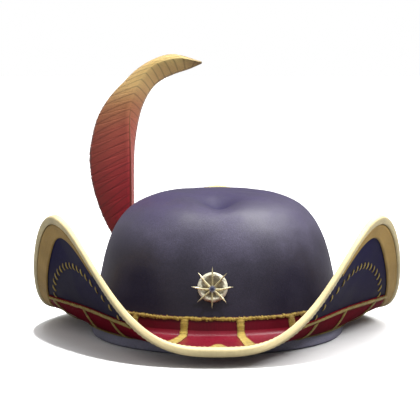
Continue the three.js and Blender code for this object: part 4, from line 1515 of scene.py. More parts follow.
    def binding(self) -> MeshBuilder:
        """Makes the binding, rolled round the felt's edge.

        Returns:
            The binding.
        """
        angle = around(self.binding_columns)[:, 0]
        slot, nose, power = self.binding_slot, self.binding_nose, self.binding_cap_power
        size = self.form.brim_sizes
        turn = np.radians(np.linspace(90, -90, 19))
        cap_out = nose + (self.binding_reach - nose) * np.maximum(np.cos(turn), 0) ** power
        cap_up = np.sign(np.sin(turn)) * np.abs(np.sin(turn)) ** power
        lip, half = self._trim(angle)
        ease, lip_rise = np.array(self.lip_profile).T
        lip_up = slot + (half - slot) * lip_rise
        cap = np.broadcast_to(cap_out, (len(angle), len(cap_out)))
        inside = size.felt_follow * (size.full_lip - lip) - np.full((1, 2), self.binding_floor)
        out = np.concatenate([ease - lip, cap, ease[::-1] - lip, inside], axis=1)
        floor = np.array([[-slot, slot]]) * np.ones_like(lip)
        up = np.concatenate([lip_up, half * cap_up, -lip_up[:, ::-1], floor], axis=1)
        middle, outward, upward = self._edge_frame(angle)
        puff = 1 + ripple(angle, 0, self.binding_puff, 11)
        puff = puff + self.binding_wave * np.sin(self.binding_waves * angle)
        points = (middle[:, None] + outward[:, None] * (out + puff[:, None] - 1)[..., None]
                  + upward[:, None] * (up * puff[:, None])[..., None])
        return MeshBuilder("binding_roll").grid(points, ring=True, tube=True)

    def stitches(self) -> MeshBuilder:
        """Makes the running stitch along the binding's two lips.

        Returns:
            The stitches.
        """
        line = self.form.brim(self.lines.angle, np.ones(self.lines.STEPS + 1))
        length = run_length(line)
        count = int(length[-1] / self.stitch_pitch)
        start = np.arange(count) * length[-1] / count
        builder = MeshBuilder("binding_stitches")
        for number, side in enumerate((1, -1)):
            along = start[:, None] + np.linspace(0, self.stitch_length, len(self.stitch_arch))
            angle = np.interp(along, length, self.lines.angle)
            middle, outward, upward = self._edge_frame(angle)
            lip, half = self._trim(angle)
            inset = np.maximum(lip - self.stitch_inset, self.stitch_least)
            low = middle - outward * inset + upward * (side * half)
            builder.strands(low, low + upward * side, self.stitch_radius,
                            np.array(self.stitch_arch), seed=21 + number)
        return builder


@dataclass
class GoldLace:
    """Gold lines and bars as rows of thread laid side by side, and the ticks on the lobes."""

    form: HatForm
    lines: BrimLines
    pitch: float = 0.56
    radius: float = 0.34
    ragged: float = 0.45
    base: float = GAP + 0.8 + GAP
    thread_slant: float = 0.006
    arch: tuple[float, ...] = (0.05, 0.38, 0.5, 0.38, 0.05)
    measure_height: float = 1.8
    line_least: float = 0.7
    crease_start: float = 0.004
    crease_middle: float = 0.03
    crease_ragged: tuple[float, float] = (0.004, 0.006)
    bar_panels: int = 15
    bar_inset: float = 0.3
    bar_ragged: float = 0.09
    first_bar: float = 14
    inner_bar: float = 3.3
    outer_bar: float = 1.9
    patch_x: float = 0.9
    patch_width: tuple[float, float] = (12.0, 6.5)
    patch_threads: int = 13
    lobe_peaks: tuple[float, float, float] = (60, 180, 300)
    lobe_half_angle: float = 50
    tick_length: float = 5.3
    tick_half_width: float = 0.42
    tick_radius: float = 0.33
    tick_count: int = 18
    tick_step: float = 3.0
    tick_arch: tuple[float, float] = (27.5, 27.5)
    tick_profile: tuple[float, ...] = (0.0, 0.28, 0.4, 0.45, 0.4, 0.28, 0.0)
    tick_lift: float = 0.05
    tick_side_short: float = 0.08
    tick_lobes: tuple[float, float, float] = (57.5, 180.0, 302.5)

    def __post_init__(self) -> None:
        """Prepares the threads' unevenness and the places along one thread."""
        self.random = np.random.default_rng(7)
        self.across = np.linspace(0, 1, len(self.arch))[None, :]

    def dress(self, looks: Wardrobe) -> None:
        """Builds the lace and gives it its finish.

        Args:
            looks: The hat's finishes.
        """
        self.crown().build(looks.gold, Slot.LACE, ("lace_crown",))
        self.under().build(looks.gold, Slot.LACE, ("lace_outer",))
        for number, (side, peak) in enumerate(zip(("left", "rear", "right"), self.lobe_peaks)):
            self.lobe(f"gold_lace_{side}", peak, 91 + number).build(
                looks.gold, Slot.LACE, (f"lace_lobe_{side}",))
        self.ticks().build(looks.gold, Slot.LACE)

    def _rough(self, count: int, size: float) -> np.ndarray:
        """Random offsets of up to size, one for every two threads."""
        return np.repeat(self.random.uniform(-size, size, (count // 2 + 1, 1)), 2, axis=0)[:count]

    def _lay(self, builder: MeshBuilder, surface: Surface, seed: int) -> None:
        """Adds threads over a surface that takes the height above it."""
        builder.strands(surface(self.base), surface(self.base + 1), self.radius,
                        np.array(self.arch), seed)

    def _lay_on_brim(self, builder: MeshBuilder, place: np.ndarray, share: np.ndarray,
                     face: Face, seed: int) -> None:
        """Adds threads at these angles and shares over one face of the brim."""
        self._lay(builder, lambda up: self.form.brim_face(place, share, face, up), seed)

    def _even_angles(self, start: float, end: float, line: Surface) -> np.ndarray:
        """Angles at the threads' pitch along a line.

        Args:
            start: First angle.
            end: Last angle.
            line: Gives the line's points for angles.

        Returns:
            The angles.
        """
        angle = np.linspace(start, end, 721)
        length = run_length(line(angle))
        count = max(int(length[-1] / self.pitch), 2)
        return np.interp(np.arange(count) / count * length[-1], length, angle)

    def crown(self) -> MeshBuilder:
        """Makes the level line and the bars on the crown, and bars over the crease.

        Returns:
            The lace.
        """
        size = self.form.crown_sizes
        builder = MeshBuilder("gold_lace_crown")
        middle = (size.line_bottom + size.line_top) / 2
        angle = self._even_angles(0, FULL_TURN, lambda a: self.form.crown_wall(
            a, middle, self.base + self.radius))
        low = size.line_bottom + self._rough(len(angle), self.ragged)
        high = size.line_top + self._rough(len(angle), self.ragged)
        place = angle[:, None] + (self.across - 0.5) * self.thread_slant
        self._lay(builder, lambda up: self.form.crown_wall(
            place, lerp(low, high, self.across), up), 31)
        for panel in range(self.bar_panels):
            self._bar(builder, panel, 41 + panel)
        self._front_patch(builder)
        return builder

    def _front_patch(self, builder: MeshBuilder) -> None:
        """Adds the small patch at the front point, broader towards the binding.

        Args:
            builder: Where it is added.
        """
        lines = self.lines
        step = self.pitch * float(lines.at(lines.per_mm, 0.0))
        rows = np.arange(self.patch_threads)[:, None]
        share = float(lines.at(lines.edge, 0.0)) - rows * step
        half_width = lerp(*self.patch_width, rows / self.patch_threads) / 2
        radius = self.form.brim_sizes.point_reach
        place = (lerp(-half_width, half_width, self.across) - self.patch_x) / radius
        self._lay_on_brim(builder, place, share, Face.UPPER, 64)

    def _bar_angle(self, panel: int) -> float:
        """Angle of a bar's middle."""
        return math.radians(self.first_bar + panel * 360 / self.bar_panels)

    def _bar_stop(self, angle: float) -> float:
        """Share of the brim's width where a bar meets the level line."""
        lines = self.lines
        return min(float(lines.at(line, angle)) for line in (lines.line_top, lines.line_bottom))

    def _bar_rows(self, panel: int, up: float) -> np.ndarray:
        """Points of one bar down the crown, over the crease and out to the level line.

        Args:
            panel: Number of the bar.
            up: Height above the felt.

        Returns:
            Rows of points along the bar, each across its width.
        """
        size, form = self.form.brim_sizes, self.form
        middle = self._bar_angle(panel)
        half = math.radians(self.inner_bar / 2)
        angle = np.linspace(middle - half, middle + half, len(self.arch))[None, :]
        stop = self._bar_stop(middle)
        start = form.crown_sizes.line_bottom + self.bar_inset
        colour_and_painted_shade_by_height = np.linspace(start, size.fold_height, 6)[:, None]
        spots = np.linspace(0, 1, 10)[1:-1, None]
        shares = np.linspace(size.fold_share, stop, 14)[:, None]
        return np.concatenate([form.crown_wall(angle, colour_and_painted_shade_by_height, up), form.fold(angle, spots, up),
                               form.brim_face(angle, shares, Face.UPPER, up)])

    def _bar(self, builder: MeshBuilder, panel: int, seed: int) -> None:
        """Adds one bar, with its threads at an even pitch.

        Args:
            builder: Where it is added.
            panel: Number of the bar.
            seed: Seed of the threads' tones.
        """
        middle = len(self.arch) // 2
        count = int(run_length(self._bar_rows(panel, self.base)[:, middle])[-1] / self.pitch)
        stretch = 1 + self._rough(count, self.bar_ragged)[..., None]

        def surface(up: float) -> np.ndarray:
            """The threads' points at a height above the felt.

            Args:
                up: The height.

            Returns:
                The points.
            """
            points = self._bar_rows(panel, up)
            own = run_length(points[:, middle])
            place = np.linspace(0, own[-1], count)
            flat = points.reshape(len(points), -1)
            laid = np.stack([np.interp(place, own, column) for column in flat.T], axis=1)
            laid = laid.reshape(count, -1, 3)
            centre = laid[:, middle:middle + 1]
            return centre + (laid - centre) * stretch

        self._lay(builder, surface, seed)

    def _level_line(self, builder: MeshBuilder, face: Face, start: float, end: float,
                    seed: int) -> None:
        """Adds the level line on one face between two angles, where the brim reaches it.

        Args:
            builder: Where it is added.
            face: Which face of the brim.
            start: First angle.
            end: Last angle.
            seed: Seed of the threads' tones.
        """
        lines = self.lines
        angle = self._even_angles(start, end, lambda a: self.form.brim_face(
            a, lines.at(lines.line_top, a), face, self.measure_height))
        per_mm = lines.at(lines.per_mm, angle)
        low = lines.at(lines.line_bottom, angle)
        high = lines.at(lines.line_top, angle)
        keep = high - low > self.line_least * per_mm
        angle, per_mm, low, high = (v[keep][:, None] for v in (angle, per_mm, low, high))
        low = low + self._rough(len(low), self.ragged) * per_mm
        high = high + self._rough(len(high), self.ragged) * per_mm
        place = angle + (self.across - 0.5) * self.thread_slant
        self._lay_on_brim(builder, place, lerp(low, high, self.across), face, seed)

    def lobe(self, name: str, peak: float, seed: int) -> MeshBuilder:
        """Makes the level line on the upper face of one lobe.

        Args:
            name: Name of the piece.
            peak: Angle of the lobe's peak in degrees.
            seed: Seed of the threads' tones.

        Returns:
            The lace.
        """
        builder = MeshBuilder(name)
        start, end = (math.radians(peak + side * self.lobe_half_angle) for side in (-1, 1))
        self._level_line(builder, Face.UPPER, start, end, seed)
        return builder

    def under(self) -> MeshBuilder:
        """Makes the crease line, the level lines and the bars on the under face.

        Returns:
            The lace.
        """
        form, size = self.form, self.form.brim_sizes
        builder = MeshBuilder("gold_lace_under")
        angle = self._even_angles(0, FULL_TURN, lambda a: form.brim_face(
            a, self.crease_middle, Face.UNDER, self.measure_height))[:, None]
        low_rough, high_rough = self.crease_ragged
        low = self.crease_start + np.abs(self._rough(len(angle), low_rough))
        high = size.crease_share + self._rough(len(angle), high_rough)
        place = angle + (self.across - 0.5) * self.thread_slant
        self._lay_on_brim(builder, place, lerp(low, high, self.across), Face.UNDER, 71)
        self._level_line(builder, Face.UNDER, 0, FULL_TURN, 72)
        for panel in range(self.bar_panels):
            self._under_bar(builder, panel)
        return builder

    def _under_bar(self, builder: MeshBuilder, panel: int) -> None:
        """Adds one bar on the under face, from the crease line to the level line.

        Args:
            builder: Where it is added.
            panel: Number of the bar.
        """
        form = self.form
        half = math.radians(self.outer_bar / 2)
        middle = self._bar_angle(panel)
        stop = self._bar_stop(middle)
        shares = np.linspace(form.brim_sizes.crease_share, stop, 40)
        length = run_length(form.brim_face(middle, shares, Face.UNDER, self.measure_height))
        count = int(length[-1] / self.pitch)
        share = np.interp(np.linspace(0, length[-1], count), length, shares)[:, None]
        place = middle + (self.across - 0.5) * 2 * half * (1 + self._rough(count, self.bar_ragged))
        self._lay_on_brim(builder, place, share, Face.UNDER, 81 + panel)

    def ticks(self) -> MeshBuilder:
        """Makes the arch of short padded ticks on the under face of each lobe.

        Returns:
            The ticks.
        """
        form = self.form
        builder = MeshBuilder("gold_ticks")
        reach = self.tick_step * (self.tick_count - 1) / 2
        steps = np.linspace(-reach, reach, self.tick_count)
        low_end, arch_height = self.tick_arch
        lay = np.linspace(-1, 1, len(self.tick_profile))[None, :]
        for number, centre in enumerate(self.tick_lobes):
            angle = np.radians(centre + steps)
            height = low_end + arch_height * (1 - (steps / reach) ** 2)
            share = form.share_at_height(angle, height)
            stretch = np.linalg.norm(form.brim_outward(angle, share), axis=-1)
            half = self.tick_length / 2 / stretch
            radius = np.linalg.norm(form.brim(angle, share)[..., :2], axis=-1)
            for strand in (-1, 0, 1):
                across = strand * self.tick_half_width / radius
                place = (angle + across)[:, None]
                length = 1 - self.tick_side_short * abs(strand)
                where = share[:, None] + half[:, None] * lay * length
                low, high = (form.brim_face(place, where, Face.UNDER, up)
                             for up in (self.tick_lift, 1 + self.tick_lift))
                builder.strands(low, high, self.tick_radius, np.array(self.tick_profile),
                                seed=101 + 3 * number + strand, sides=6)
        return builder


# Radius and height of the boss's rings, and a ray's sizes by its stations
BOSS_RINGS = (
    (0.01, 1.85), (2.2, 1.8), (4.2, 1.85), (6.0, 2.05), (6.9, 2.45), (7.4, 3.05), (7.8, 3.38),
    (8.5, 3.4), (9.3, 2.95), (9.8, 2.3), (10.0, 1.7),
)
RAY_HALF_WIDTH = ((0, 0.2, 0.5, 0.68, 1), (0.85, 0.8, 0.62, 0.66, 0.07))
RAY_LIFT = ((0, 0.3, 0.55, 0.75, 1), (3.0, 3.3, 3.85, 3.95, 3.55))
RAY_RIDGE = ((0, 0.6, 1), (0.95, 0.9, 0.15))
BROAD_RAY_BOWS = {0: -0.55, 3: 0.3, 4: 0.45, 7: 0.35}


@dataclass
class Badge:
    """The boss and the eight-pointed star on the crown's front."""

    form: HatForm
    x: float = -2.9
    height: float = 43.6
    sides: int = 24
    back_radii: tuple[float, float, float] = (9.9, 5.0, 0.01)
    hub_place: tuple[float, float] = (-0.1, -1.3)
    ray_centre: tuple[float, float] = (-0.15, -0.35)
    ray_root: float = 1.3
    ray_length: float = 13.7
    slim_ray: float = 0.86
    hub_points: int = 8

    def __post_init__(self) -> None:
        """Finds the badge's place on the crown."""
        form = self.form
        angle = 0.0
        for _ in range(20):
            wall = form.crown_wall(angle, self.height, 0.0)
            angle += (wall[0] - self.x) / form.crown_sizes.half_width
        self.seat = form.crown_wall(angle, self.height, 0.0)
        knot = np.interp(self.height, form.wall_heights, form.wall_knots)
        self.out = form.crown_normal(angle, knot)
        self.right = unit(np.cross([0, 0, 1], self.out))
        self.up = np.cross(self.out, self.right)

    def dress(self, looks: Wardrobe) -> None:
        """Builds the badge's pieces and gives them their finishes.

        Args:
            looks: The hat's finishes.
        """
        self.boss().build(looks.boss, Slot.BOSS, ("badge_boss",), smooth=False, weld=True)
        self.star().build(looks.star, Slot.STAR, ("badge_star",), smooth=False)
        self.hub().build(looks.hub, Slot.STAR, smooth=False, weld=True)

    def at(self, x: Numbers, y: Numbers, height: Numbers) -> np.ndarray:
        """Points so far to the right, up the wall and out over the badge's seat."""
        x, y, height = np.broadcast_arrays(x, y, height)
        return (self.seat + self.right * x[..., None] + self.up * y[..., None]
                + self.out * height[..., None])

    def _wall_depth(self, x: Numbers, y: Numbers) -> np.ndarray:
        """How far the crown's wall lies behind the badge's plane.

        Args:
            x: Millimetres to the right.
            y: Millimetres up the wall.

        Returns:
            Depths in millimetres.
        """
        depth = np.zeros(np.shape(x))
        for _ in range(12):
            point = self.at(x, y, -depth)
            angle = np.arctan2(-point[..., 0] * OVAL, -point[..., 1])
            wall = self.form.crown_wall(angle, point[..., 2], 0.0)
            depth = depth - (wall[..., 1] - point[..., 1]) * self.out[1]
        return depth

    def boss(self) -> MeshBuilder:
        """Makes the dished disc with its facetted rim.

        Returns:
            The boss.
        """
        rings = np.array(BOSS_RINGS)
        turn = around(self.sides)
        random = np.random.default_rng(5)
        on_rim = (rings[:, 0] > 6.5)[None, :]
        height = rings[:, 1] + on_rim * random.uniform(-0.13, 0.1, (self.sides, len(rings)))
        radius = rings[:, 0] + on_rim * random.uniform(-0.1, 0.06, (self.sides, len(rings)))
        lobed = np.cos(8 * (turn - math.pi / 8))
        near_lip = np.exp(-((rings[:, 0] - 7.2) / 0.8) ** 2)[None, :]
        radius = radius + 0.45 * lobed * near_lip
        front = self.at(radius * np.cos(turn), radius * np.sin(turn), height)
        back_radius = np.array(self.back_radii)[None, :]
        x, y = back_radius * np.cos(turn), back_radius * np.sin(turn)
        back = self.at(x, y, GAP - self._wall_depth(x, y))
        points = np.concatenate([front, back], axis=1)
        tone = np.zeros(points.shape[:2])
        tone[:, :len(rings)] = np.interp(rings[:, 0], (0, 5.5, 7.2, 7.6), (0.95, 0.75, 0.35, 0.0))
        return MeshBuilder("badge_disc").grid(points, ring=True, tone=tone)

    def star(self) -> MeshBuilder:
        """Makes the eight ridged rays, which rise over the rim and thin to a point.

        Returns:
            The rays.
        """
        builder = MeshBuilder("badge_rays")
        station = np.linspace(0, 1, 15)
        hub, centre = np.array(self.hub_place), np.array(self.ray_centre)
        for ray in range(8):
            turn = ray * FULL_TURN / 8
            way = np.array([math.cos(turn), math.sin(turn)])
            side = np.array([-way[1], way[0]])
            bow = BROAD_RAY_BOWS.get(ray, 0.0)
            root, tip = hub + self.ray_root * way, centre + self.ray_length * way
            spine = lerp(root, tip, station[:, None])
            spine = spine + side * (bow * np.sin(station * math.pi * 1.4))[:, None]
            stout = 1.0 if ray in BROAD_RAY_BOWS else self.slim_ray
            half = stout * np.interp(station, *RAY_HALF_WIDTH)
            lift = np.interp(station, *RAY_LIFT)
            ridge = np.interp(station, *RAY_RIDGE)
            corners = []
            for across, over in ((-1, 0), (0, 1), (1, 0), (0, -0.45)):
                place = spine + side * (half * across)[:, None]
                corners.append(self.at(place[:, 0], place[:, 1], lift + ridge * over))
            points = np.stack(corners, axis=1)
            builder.grid(points, tube=True, tone=0.0 if ray in BROAD_RAY_BOWS else 0.5)
        return builder

    def hub(self) -> MeshBuilder:
        """Makes the small star in the middle.

        Returns:
            The hub.
        """
        turn = around(2 * self.hub_points)
        point = np.where(np.arange(2 * self.hub_points) % 2 == 0, 1.0, 0.0)[:, None]
        long = 1 + 0.25 * np.maximum(np.sin(-turn), 0) ** 6
        x, y = self.hub_place
        tip = 1.75 + 2.0 * point * long
        rings = ((0.01, 4.15), (0.6, 4.1), (1.25, 3.95), (tip, 3.7), (tip, 3.1), (0.01 * tip, 2.6))
        columns = [self.at(spread * np.cos(turn) + x, spread * np.sin(turn) + y,
                           height) for spread, height in rings]
        points = np.concatenate(columns, axis=1)
        tone = np.broadcast_to([1.0, 1.0, 0.55, 0.0, 0.0, 0.0], points.shape[:2])
        return MeshBuilder("badge_hub").grid(points, ring=True, tone=tone)


PLUME_ROWS = (
    # ridge x, ridge z, outer x, outer z, inner x, inner z
    (-66.0, 54, -67.8, 53, -64.0, 53), (-65.5, 64, -72.5, 53, -62.6, 60),
    (-64.6, 82, -83.5, 70, -61.8, 78), (-64.6, 101, -90.2, 88, -61.8, 96),
    (-64.6, 116, -93.6, 104, -61.6, 112), (-64.8, 130, -94.5, 119, -61.0, 126),
    (-65.0, 143, -92.5, 133, -59.2, 139), (-64.2, 155, -87.6, 149, -56.2, 152),
    (-60.4, 167, -78.8, 163, -51.6, 163), (-54.6, 177, -69.5, 173, -45.8, 171),
    (-47.5, 185, -58.9, 183, -38.8, 176), (-38.8, 189, -47.5, 190, -29.6, 180),
    (-27.0, 191, -33.0, 194, -20.6, 183), (-11.0, 188, -11.6, 188.8, -11.4, 187),
)


# Radius and height round the sleeve, from the middle of its foot over the rim to its floor
SLEEVE_PROFILE = (
    (0.01, 28.1), (3.4, 28.0), (4.0, 28.3), (4.3, 28.9), (4.2, 29.8), (4.05, 31), (4.05, 41.2),
    (4.2, 42.2), (4.35, 43.1), (4.1, 43.8), (3.4, 44.05), (2.7, 43.8), (2.35, 43.2), (2.3, 40),
    (2.3, 30.2), (0.01, 30.1),
)


@dataclass
class Plume:
    """A curled feather: two vanes of ridged barbs on a quill, in a leather socket."""

    form: HatForm
    foot_x: float = -65.9
    foot_depth: float = 68.0
    foot_height: float = 30.0
    lean: float = 0.06
    outer_back: float = 4.0
    inner_back: float = 8.0
    back_power: float = 1.4
    bulges: tuple[float, float] = (4.0, 1.2)
    ridge_width: float = 0.16
    locks: int = 26
    barbs: int = 312
    rows_per_barb: int = 4
    notch: float = 0.01
    groove: float = 0.16
    barb_relief: float = 0.16
    fringe_ends: int = 460
    fringe_radius: float = 0.2
    quill_radius: float = 2.0
    quill_top: float = 52.0
    pad_half_width: float = 4.9
    pad_heights: tuple[float, float] = (30.4, 42.8)
    pad_gap: float = 0.15

    def __post_init__(self) -> None:
        """Prepares the feather's three curves."""
        rows = np.array(PLUME_ROWS, float)
        self.ridge, self.outer, self.inner = (
            SmoothCurve(stack(rows[:, k], self.depth(rows[:, k + 1]), rows[:, k + 1]))
            for k in (0, 2, 4))

    def dress(self, looks: Wardrobe) -> None:
        """Builds the plume and its socket and gives them their finishes.

        Args:
            looks: The hat's finishes.
        """
        self.vanes().build(looks.feather, Slot.FEATHER, ("plume",))
        self.fringe().build(looks.feather, Slot.FEATHER)
        self.quill().build(looks.quill, Slot.FEATHER)
        self.socket().build(looks.leather, Slot.SOCKET, ("plume_socket",), weld=True)

    def depth(self, height: Numbers) -> Numbers:
        """How far back the feather stands at a height."""
        return self.foot_depth - self.lean * (height - self.foot_height)

    def surface(self, station: Numbers, across: Numbers, behind: Numbers) -> np.ndarray:
        """Points of the vanes.

        Args:
            station: 0 at the foot and 1 at the tip.
            across: -1 at the outer edge, 0 on the ridge, 1 at the inner edge.
            behind: 0 for the front of the vane, 1 for its back.

        Returns:
            The points.
        """
        last = self.ridge.last
        ridge, outer, inner = (curve.at(station * last)
                               for curve in (self.ridge, self.outer, self.inner))
        slim = np.minimum(1, np.minimum(6 * station, 5 * (1 - station) + 0.12))
        side = np.abs(across)[..., None]
        edge = np.where(across[..., None] < 0, outer, inner)
        point = lerp(ridge, edge, side)
        reach = np.where(across < 0, self.outer_back, self.inner_back)
        bulge = np.where(across < 0, *self.bulges) * np.abs(across) * (1 - np.abs(across))
        back = slim * (reach * np.abs(across) ** self.back_power - bulge)
        ridge_thick = (0.45 + 0.55 * slim) * np.exp(-(across / self.ridge_width) ** 2)
        thick = (0.45 + 0.55 * slim) * (0.35 + 0.75 * (1 - np.abs(across)))
        point[..., 1] += back - ridge_thick * 0.9 + behind * (thick + ridge_thick * 1.9)
        return point

    def vanes(self) -> MeshBuilder:
        """Makes the two vanes, with a ridge for each barb and a groove between locks.

        Returns:
            The vanes.
        """
        rows = self.barbs * self.rows_per_barb
        station = np.linspace(0, 1, rows + 1)[:, None]
        front = np.r_[np.linspace(-1, -0.12, 11), -0.05, 0, 0.08, np.linspace(0.2, 1, 6)]
        back = np.r_[np.linspace(0.94, 0.1, 6), 0, np.linspace(-0.1, -0.94, 9)]
        across = np.r_[front, back][None, :]
        behind = np.r_[np.zeros(len(front)), np.ones(len(back))][None, :]
        barb = 0.5 - 0.5 * np.cos(station * self.barbs * FULL_TURN)
        lock = np.abs(np.mod(station * self.locks, 1) - 0.5) * 2
        groove = np.clip((lock - 0.86) / 0.14, 0, 1)
        random = np.random.default_rng(9)
        ragged = np.repeat(random.uniform(-1, 1, self.barbs + 1), self.rows_per_barb)[:rows + 1]
        near_edge = np.clip((np.abs(across) - 0.8) / 0.2, 0, 1)
        slim = np.clip(np.minimum(8 * station, 7 * (1 - station)), 0, 1)
        trim = self.notch * (ragged[:, None] - groove) * near_edge * slim
        spread = np.sign(across) * (np.abs(across) + trim)
        points = self.surface(station, spread, behind)
        away = np.clip(np.abs(across) / 0.12, 0, 1)
        relief = (self.barb_relief * barb - self.groove * groove) * away * slim
        points[..., 1] += np.where(behind > 0, relief, -relief)
        cloth = np.stack(np.broadcast_arrays(station, np.r_[across[0], across[0, :1]][None, :]),
                         axis=-1)
        return MeshBuilder("plume_vanes").grid(points, tube=True, cloth=cloth)

    def fringe(self) -> MeshBuilder:
        """Makes the barbs' loose ends along both edges.

        Returns:
            The ends.
        """
        builder = MeshBuilder("plume_fringe")
        random = np.random.default_rng(12)
        for number, sign in enumerate((-1, 1)):
            count = (self.fringe_ends, 1)
            station = np.sort(random.uniform(0.02, 0.985, count), axis=0)
            reach = random.uniform(0.0, 0.028, count)
            along = np.linspace(0, 1, 5)[None, :]
            across = sign * (0.86 + (0.13 + reach) * along)
            where = np.clip(station - 0.006 * along ** 2 * random.uniform(0, 1.5, count), 0, 1)
            low = self.surface(where, across, 0.5)
            builder.strands(low, low + np.array([0.0, -1.0, 0.0]), self.fringe_radius,
                            random.uniform(-0.3, 0.3, count) * along, seed=51 + number, taper=0.3)
        points = np.concatenate(builder.points)[np.concatenate(builder.quads)]
        station = self._nearest_station(points)
        builder.cloth = [np.stack([station, np.full_like(station, -0.9)], axis=-1)]
        return builder

    def _nearest_station(self, points: np.ndarray) -> np.ndarray:
        """Station of the outer or inner edge nearest to each point.

        Args:
            points: Corners of quads.

        Returns:
            Their stations.
        """
        table = np.linspace(0, 1, 240)
        lines = np.concatenate([curve.at(table * curve.last)
                                for curve in (self.outer, self.inner)])
        flat, line = points[..., [0, 2]], lines[:, [0, 2]]
        result = np.empty(points.shape[:2])
        for start in range(0, len(points), 4000):
            part = flat[start:start + 4000, :, None, :] - line
            result[start:start + 4000] = table[np.argmin((part ** 2).sum(-1), axis=-1) % 240]
        return result

    def quill(self) -> MeshBuilder:
        """Makes the quill, from its foot in the socket to near the tip.

        Returns:
            The quill.
        """
        stem = np.linspace(self.foot_height, self.quill_top, 12)
        lower = stack(np.full_like(stem, self.foot_x), self.depth(stem), stem)
        station = np.linspace(0.03, 0.93, 80)
        upper = self.ridge.at(station * self.ridge.last) + np.array([0.3, 0.1, 0])
        path = np.concatenate([lower, upper])[None]
        grow = np.linspace(0, 1, path.shape[1])
        radius = self.quill_radius * np.interp(grow, (0, 0.02, 0.13, 0.2, 1),
                                               (0.6, 0.98, 0.98, 0.62, 0.18))
        builder = MeshBuilder("plume_quill")
        builder.strands(path, path + np.array([0.0, -1.0, 0.0]), radius,
                        np.zeros(path.shape[1]), seed=61, sides=12)
        turn = np.concatenate(builder.cloth)
        reach = turn[..., 0].max()
        builder.cloth = [np.stack([turn[..., 0] / reach, turn[..., 1] * 0 - 0.5], axis=-1)]
        return builder

    def socket(self) -> MeshBuilder:
        """Makes the leather sleeve with rolled rims and the pad between it and the crown.

        Returns:
            The socket.
        """
        builder = MeshBuilder("plume_socket_leather")
        radius, height = np.array(SLEEVE_PROFILE).T
        turn = around(40)
        points = stack(self.foot_x + radius * np.cos(turn),
                       self.depth(height) + radius * np.sin(turn), height)
        builder.grid(points, ring=True)
        inward = unit(np.array([-self.foot_x, -self.foot_depth * 0.9, 0.0]))
        across = np.array([-inward[1], inward[0], 0])
        wide = self.pad_half_width
        level, side = np.meshgrid(np.linspace(*self.pad_heights, 9), np.linspace(-wide, wide, 9),
                                  indexing="ij")
        start = stack(self.foot_x, self.depth(level), level) + side[..., None] * across
        soft = 1 - 0.12 * (np.abs(side) / wide) ** 6 - 0.1 * (np.abs(level - 36.6) / 6.2) ** 6
        near = start + inward * (1.2 + 1.2 * (1 - soft))[..., None]
        low, high = np.zeros(level.shape), np.full(level.shape, 12.0)
        knots = np.interp(level, self.form.wall_heights, self.form.wall_knots)
        wall = self.form.profile.at(knots)[..., 0] + GAP + self.pad_gap
        for _ in range(30):
            middle = (low + high) / 2
            point = start + inward * middle[..., None]
            outside = np.hypot(point[..., 0], point[..., 1] / OVAL) > wall
            low, high = np.where(outside, middle, low), np.where(outside, high, middle)
        far = start + inward * low[..., None]
        builder.grid(np.concatenate([near, far[:, ::-1]], axis=1), tube=True)
        return builder


# Studio


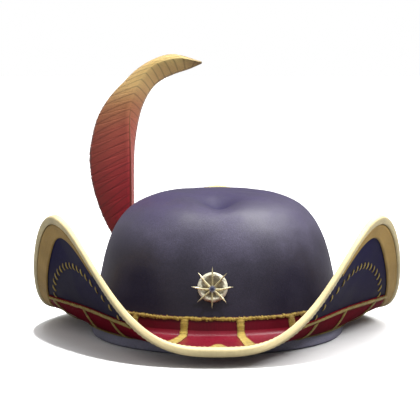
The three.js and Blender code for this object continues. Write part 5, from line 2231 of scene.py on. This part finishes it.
@dataclass
class Studio:
    """Camera, soft lights, sky and floor, in metres."""

    camera_place: Place = (0.0, -1.2365, 0.2104)
    aim: Place = (0.0, CENTRING_SHIFT * MM, 0.0853)
    lens: float = 151.3
    shift_x: float = -0.0169
    light_aim: Place = (0.0, 0.0, 0.06)
    key_way: Place = (0.04, -0.17, 1.0)
    key_strength: float = 3.6
    key_spread: float = 3
    sky_low: float = 0.16
    sky_high: float = 0.62
    floor_size: float = 14
    floor_drop: float = 0.0004
    floor_bounce: float = 0.2

    def camera(self) -> None:
        """Places the camera at the photograph's angle."""
        data = bpy.data.cameras.new("camera")
        data.lens = self.lens
        data.shift_x = self.shift_x
        camera = self._place("camera", data, self.camera_place, self.aim)
        bpy.context.scene.camera = camera

    def _place(self, name: str, data: bpy.types.ID, place: Place,
               aim: Place) -> bpy.types.Object:
        """Adds a camera or a light that looks at a point.

        Args:
            name: Its name.
            data: The camera or light.
            place: Where it stands.
            aim: What it looks at.

        Returns:
            The object.
        """
        item = bpy.data.objects.new(name, data)
        item.location = place
        item.rotation_mode = "QUATERNION"
        item.rotation_quaternion = (Vector(aim) - Vector(place)).to_track_quat("-Z", "Y")
        bpy.context.scene.collection.objects.link(item)
        return item

    def light(self, name: str, place: Place, size: float, power: float,
              glossy: bool = True) -> None:
        """Adds a soft square light that faces the hat.

        Args:
            name: Name of the light.
            place: Where it stands.
            size: Length of its sides.
            power: Power in watts.
            glossy: Whether it shows in reflections.
        """
        data = bpy.data.lights.new(name, "AREA")
        data.size = size
        data.energy = power
        self._place(name, data, place, self.light_aim).visible_glossy = glossy

    def key(self) -> None:
        """Adds the broad far light from above the front."""
        data = bpy.data.lights.new("key", "SUN")
        data.energy = self.key_strength
        data.angle = math.radians(self.key_spread)
        self._place("key", data, self.key_way, (0, 0, 0)).visible_glossy = False

    def world(self) -> None:
        """Makes a pale sky, brighter overhead, that shows as white behind the hat."""
        world = bpy.data.worlds.new("studio")
        world.use_nodes = True
        bpy.context.scene.world = world
        nodes = Nodes(world.node_tree)
        background = world.node_tree.nodes["Background"]
        place = nodes.add("ShaderNodeTexCoord").outputs["Generated"]
        height = nodes.split(place)[2]
        sky = nodes.span(height, -0.1, 0.95, self.sky_low, self.sky_high)
        seen = nodes.add("ShaderNodeLightPath").outputs["Is Camera Ray"]
        colour = nodes.mix(seen, sky, WHITE)
        nodes.put(background.inputs["Color"], colour)

    def floor(self) -> None:
        """Lays a plain pale floor that passes little light back up."""
        bpy.ops.mesh.primitive_plane_add(size=self.floor_size, location=(0, 0, -self.floor_drop))
        floor = bpy.context.object
        floor.name = "floor"
        material = bpy.data.materials.new("pale_floor")
        material.use_nodes = True
        nodes = Nodes(material.node_tree)
        shader = material.node_tree.nodes["Principled BSDF"]
        seen = nodes.add("ShaderNodeLightPath").outputs["Is Camera Ray"]
        place = nodes.add("ShaderNodeTexCoord").outputs["Object"]
        grain = nodes.span(nodes.noise(place, scale=30, detail=2), 0.3, 0.7, 0.96, 1.0)
        plain = nodes.shaded(WHITE, grain)
        colour = nodes.mix(seen, (*[self.floor_bounce] * 3, 1.0), plain)
        nodes.put(shader.inputs["Base Color"], colour)
        nodes.put(shader.inputs["Roughness"], 0.9)
        nodes.put(shader.inputs["Specular IOR Level"], 0.1)
        floor.data.materials.append(material)

    def build(self) -> None:
        """Sets the whole studio up."""
        self.camera()
        self.key()
        self.light("left_gloss", (-0.22, 0.1, 1.0), 0.36, 3.2)
        self.light("right_gloss", (0.42, 0.2, 1.0), 0.8, 13.0)
        self.light("front_fill", (-0.9, -1.3, 0.12), 0.9, 3.6, glossy=False)
        self.light("right_fill", (1.1, -0.5, 1.1), 0.5, 14.0, glossy=False)
        self.world()
        self.floor()
        bpy.context.scene.view_settings.view_transform = "Standard"


class Hat:
    """The whole hat."""

    def __init__(self) -> None:
        """Prepares the parts on their shared forms."""
        form = HatForm(CrownSizes(), BrimSizes())
        lines = BrimLines(form)
        self.parts = (Crown(form), Brim(form, lines), GoldLace(form, lines), Badge(form),
                      Plume(form))

    def dress(self, looks: Wardrobe) -> None:
        """Makes and dresses every part."""
        for part in self.parts:
            part.dress(looks)


def main() -> None:
    """Builds the hat and the studio round it."""
    logging.basicConfig(level=logging.INFO, format="%(name)s: %(message)s")
    Hat().dress(Wardrobe())
    Studio().build()


if __name__ == "__main__":
    main()
